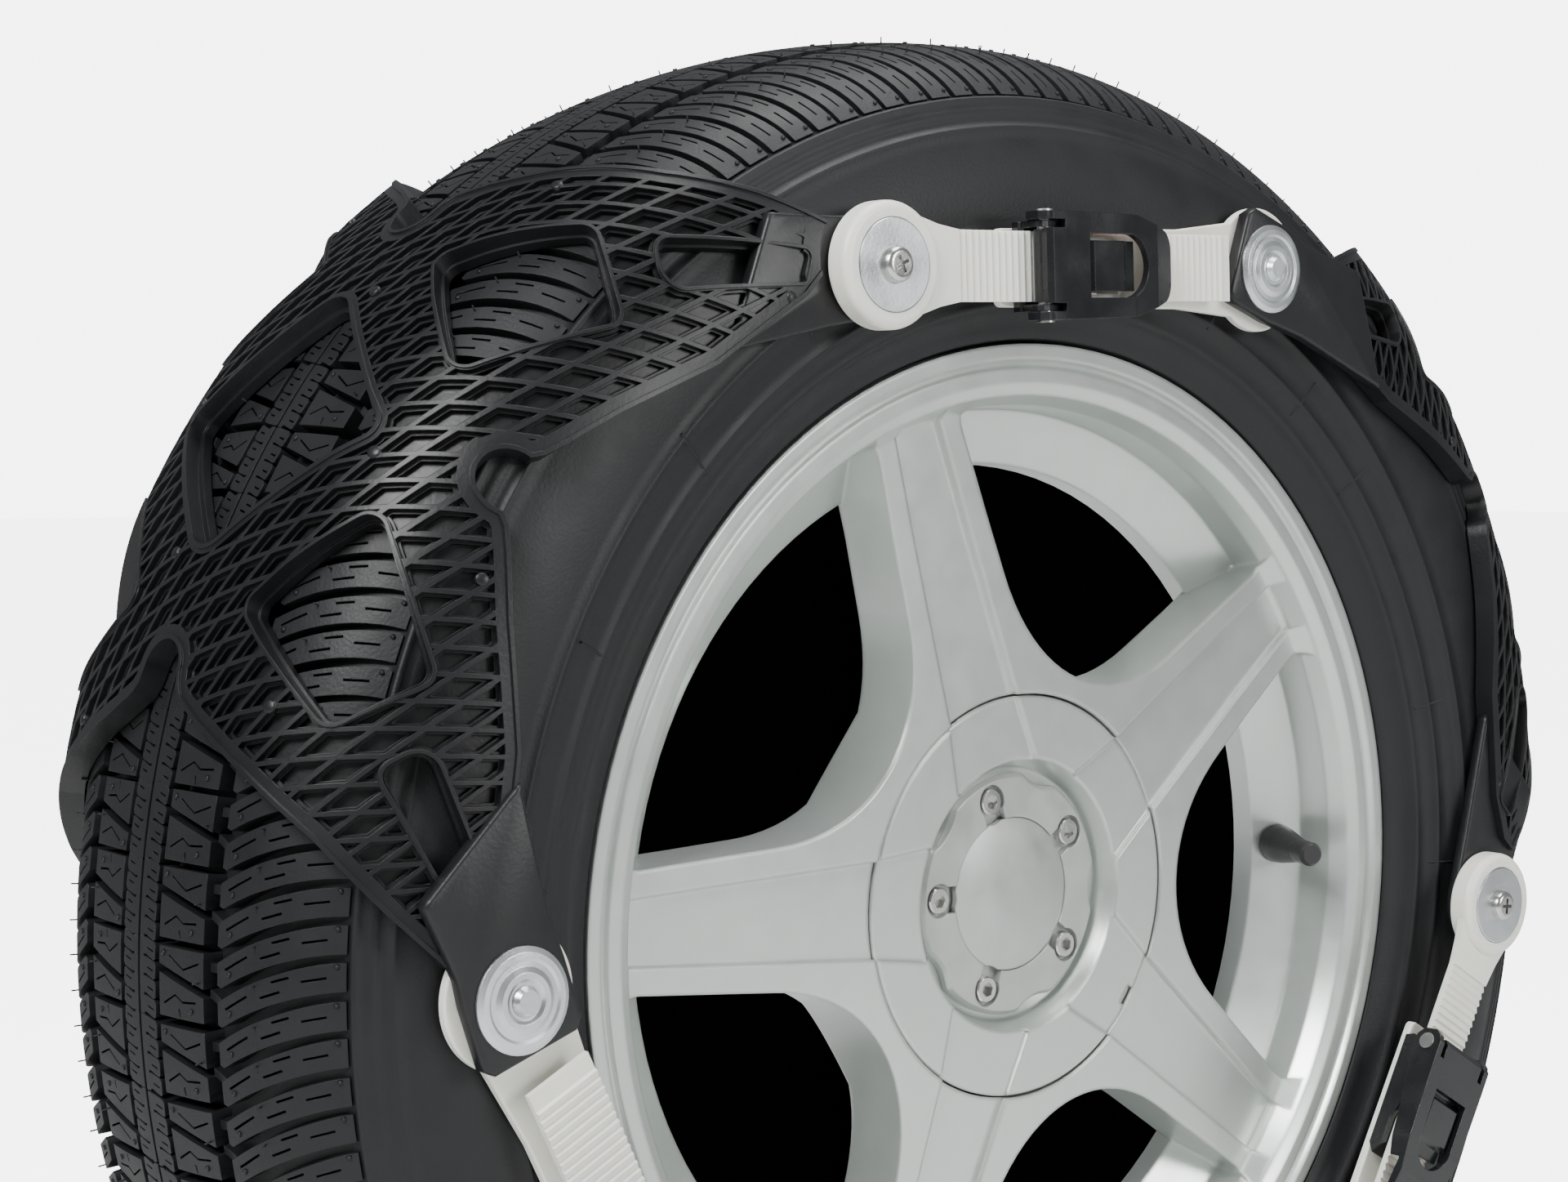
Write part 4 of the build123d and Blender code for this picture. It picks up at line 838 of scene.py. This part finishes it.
pitch = Parts()
for mirror in (False, True):
    pitch.add(*tread_half(mirror))
for sign in (1, -1):
    for k in range(2):
        x = k * PITCH / 2
        pitch.add(*nub(sign * (x + 3.0 + lean(49)), sign * 49.5, 0.9, 0.5))
        pitch.add(*nub(sign * (x + 8.4 + lean(87)), sign * 87.0, 0.8, 0.5))
        pitch.add(*nub(sign * (x + 7.6 + lean(60)), sign * 60.0, 0.3, 2.4, 5))
    pitch.add(*nub(sign * 4.0, sign * 30.5, 0.9, 0.5))
    pitch.add(*nub(sign * 21.0, sign * 15.5, 0.9, 0.5))
    pitch.add(*nub(sign * 13.5, sign * 34.5, 0.3, 2.2, 5))
x, y, z = np.concatenate(pitch.points).T
tread = Parts()
for k in range(PITCHES):
    sway = PITCH_SWAY * math.sin(2 * math.pi * PITCH_WAVES * k / PITCHES)
    turn = 2 * math.pi * (k + sway) / PITCHES
    c, s = math.cos(turn), math.sin(turn)
    tread.add(np.stack([c * x + s * z, y, c * z - s * x], 1), pitch.faces)
tread_obj = tread.object("tyre_tread", TYRE)
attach(tread_obj, "root")

# Carcass: groove floor, sidewalls with their rings, and the beads on the rim.
SIDEWALL_DEGREES = 63.0
WALL_END = CROWN_LENGTH + SHOULDER_LENGTH + SIDEWALL_R * math.radians(SIDEWALL_DEGREES)
WALL_RINGS = [  # arc length, height above the smooth sidewall
    (0, 0), (46, 0), (88, 0), (91.0, 0), (91.4, 0.8), (92.8, 0.9), (93.4, 0.0), (99.0, 0.0),
    (99.4, -0.5), (103.0, -0.5), (103.5, 0.1), (104.6, 0.1), (105.0, -0.3), (143.0, -0.3),
    (143.4, 0.3), (144.8, 0.3), (145.2, -0.2), (158.0, -0.2), (158.5, 0.5), (160.0, 0.5),
    (160.6, 0.0), (168.0, 0.0), (168.6, 0.7), (171.0, 1.0), (172.0, 0.1), (WALL_END, 0.0),
]
WALL_STEP, WALL_THICKNESS = 5.0, 13.0
BEAD_DR = [(81.6, 209.6), (80.4, 208.7), (75.4, 208.6), (75.2, 190.4), (58.8, 190.4)]
STEPS = 360


def mirrored(d, r, tail):
    """The whole profile, from its half (middle first) and the tail that ends it at the rim."""
    tail = np.array(tail)
    d, r = np.concatenate([d, tail[:, 0]]), np.concatenate([r, tail[:, 1]])
    return np.concatenate([-d[:0:-1], d])[:, None], np.concatenate([r[:0:-1], r])[:, None]


half = []
for (a, ha), (b, hb) in zip(WALL_RINGS, WALL_RINGS[1:]):
    n = max(1, math.ceil((b - a) / WALL_STEP))
    half.extend((a + (b - a) * k / n, ha + (hb - ha) * k / n) for k in range(n))
half.append(WALL_RINGS[-1])
lengths, heights = np.array(half).T
around = np.arange(STEPS) * 360.0 / STEPS
carcass = Parts()
wall_d, wall_r = mirrored(*surface_dr(lengths, heights - groove_depth(lengths)), BEAD_DR)
wall_faces = grid_faces(len(wall_d), STEPS, wrap=True)
carcass.add(round_wheel(around[None, :], wall_d, wall_r), [f[::-1] for f in wall_faces])
lining = surface_dr(np.linspace(0, WALL_END - 6, 24), -WALL_THICKNESS)
lining_d, lining_r = mirrored(*lining, BEAD_DR[-1:])
lining_faces = grid_faces(len(lining_d), STEPS // 3, wrap=True)
carcass.add(round_wheel(around[None, ::3], lining_d, lining_r), lining_faces)

BAR_ANGLES = (-83.0, -64.0, -46.0, -30.5, -19.0, -7.5, 12.0, 21.0, 36.5,
              48.0, 75.0, 92.0, 118.0, 133.0, 160.0, 201.0, 222.0, 250.0)
BAR_START, BAR_WIDTH, BAR_HEIGHT, BAR_SUNK, BAR_R = 146.0, 0.9, 0.35, -0.3, 250.0


def sidewall_bar(angle, t0, t1):
    """Thin raised bar across the sidewall, from one arc length to another."""
    ts = np.linspace(t0, t1, 5)
    turn = np.degrees(BAR_WIDTH / 2 / BAR_R)
    profile = ((-turn, BAR_SUNK), (-turn * 0.6, BAR_HEIGHT), (turn * 0.6, BAR_HEIGHT), (turn, BAR_SUNK))
    rows = [on_tyre(angle + side, ts, lift) for side, lift in profile]
    return np.concatenate(rows), grid_faces(len(profile), len(ts))


for angle in BAR_ANGLES:
    start = BAR_START + rng.uniform(-6, 6)
    carcass.add(*sidewall_bar(angle, start, start + rng.uniform(12, 22)))
wall = carcass.object("tyre_carcass", TYRE)
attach(wall, "root")
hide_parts("tyre")

# ---- stage --------------------------------------------------------------------------------
# From here on everything is in metres.
FLOOR_Z, FLOOR_GLOW, BACKDROP_GLOW, ROOM_GLOW = -0.334, 5.0, 6.0, 0.27
CARD_R, CARD_Y = 0.1625, 0.003


def shader_tree(owner, shader):
    """Nodes, links and the shader of a new material or world."""
    owner.use_nodes = True
    return owner.node_tree.nodes, owner.node_tree.links, owner.node_tree.nodes[shader]


bpy.ops.mesh.primitive_plane_add(size=40, location=(0, 0, FLOOR_Z))
floor = bpy.context.object
floor.name = "floor"
floor_look = bpy.data.materials.new("floor_look")
nodes, links, shader = shader_tree(floor_look, "Principled BSDF")
set_inputs(shader, {
    "Base Color": (0.9, 0.9, 0.9, 1), "Roughness": 0.9, "Emission Color": (1, 1, 1, 1),
})
# The floor and the backdrop shine only for the camera, so they light nothing.
ray = nodes.new("ShaderNodeLightPath")
glow = nodes.new("ShaderNodeMath")
glow.operation = "MULTIPLY"
glow.inputs[1].default_value = FLOOR_GLOW
links.new(ray.outputs["Is Camera Ray"], glow.inputs[0])
links.new(glow.outputs[0], shader.inputs["Emission Strength"])
floor.data.materials.append(floor_look)

world = bpy.data.worlds.new("studio")
bpy.context.scene.world = world
nodes, links, backdrop = shader_tree(world, "Background")
set_inputs(backdrop, {"Color": (1.0, 1.0, 1.0, 1), "Strength": BACKDROP_GLOW})
room = nodes.new("ShaderNodeBackground")
set_inputs(room, {"Color": (0.96, 0.98, 1.0, 1), "Strength": ROOM_GLOW})
ray = nodes.new("ShaderNodeLightPath")
seen = nodes.new("ShaderNodeMixShader")
links.new(ray.outputs["Is Camera Ray"], seen.inputs[0])
links.new(room.outputs[0], seen.inputs[1])
links.new(backdrop.outputs[0], seen.inputs[2])
links.new(seen.outputs[0], nodes["World Output"].inputs["Surface"])

# A dark card just behind the spokes is painted shade: it stands for the shaded dark inside of the
# vehicle, seen through the spoke windows.
# It is see-through from the vehicle side, and only the camera sees it, so it darkens nothing else.
bpy.ops.mesh.primitive_circle_add(
    vertices=96, radius=CARD_R, fill_type="NGON", location=(0, CARD_Y, 0), rotation=(math.pi / 2, 0, 0)
)
card = bpy.context.object
card.name = "painted_shade_card"
shade_card_look = bpy.data.materials.new("painted_shade_card_look")
nodes, links, shader = shader_tree(shade_card_look, "Principled BSDF")
# The card's near-black, non-reflective colour is painted shade in the spoke windows.
set_inputs(shader, {
    "Base Color": (0.001, 0.001, 0.001, 1), "Roughness": 1.0, "Specular IOR Level": 0.0,
})
clear = nodes.new("ShaderNodeBsdfTransparent")
facing = nodes.new("ShaderNodeNewGeometry")
choose = nodes.new("ShaderNodeMixShader")
links.new(facing.outputs["Backfacing"], choose.inputs[0])
links.new(shader.outputs[0], choose.inputs[1])
links.new(clear.outputs[0], choose.inputs[2])
links.new(choose.outputs[0], nodes["Material Output"].inputs["Surface"])
card.data.materials.append(shade_card_look)
card.visible_diffuse = card.visible_glossy = card.visible_transmission = card.visible_shadow = False


def softbox(name, place, size, power):
    """Rectangular area light aimed at the wheel's hub."""
    light = bpy.data.lights.new(name, "AREA")
    light.shape = "RECTANGLE"
    light.size, light.size_y = size
    light.energy = power
    obj = bpy.data.objects.new(name, light)
    bpy.context.scene.collection.objects.link(obj)
    obj.location = place
    obj.rotation_euler = (-Vector(place)).to_track_quat("-Z", "Y").to_euler()


softbox("key_light", (-1.5, -0.5, 1.3), (0.7, 0.7), 50)
softbox("top_light", (0.3, -0.2, 1.8), (1.2, 0.8), 26)
softbox("fill_light", (0.7, -2.0, 0.7), (0.8, 0.8), 26)

camera = bpy.data.cameras.new("camera")
camera.sensor_width = 36.0
camera.lens = 63.93
camera.shift_x = -0.0781
camera.shift_y = 0.0066
eye = bpy.data.objects.new("camera", camera)
bpy.context.scene.collection.objects.link(eye)
forward = Vector((0.67356, 0.73727, -0.05247)).normalized()
up = Vector((0.03538, 0.03875, 0.99862))
right = forward.cross(up).normalized()
up = right.cross(forward)
turn = Matrix((right, up, -forward)).transposed()
eye.matrix_world = Matrix.Translation((-0.7367, -0.7742, 0.1661)) @ turn.to_4x4()
bpy.context.scene.camera = eye
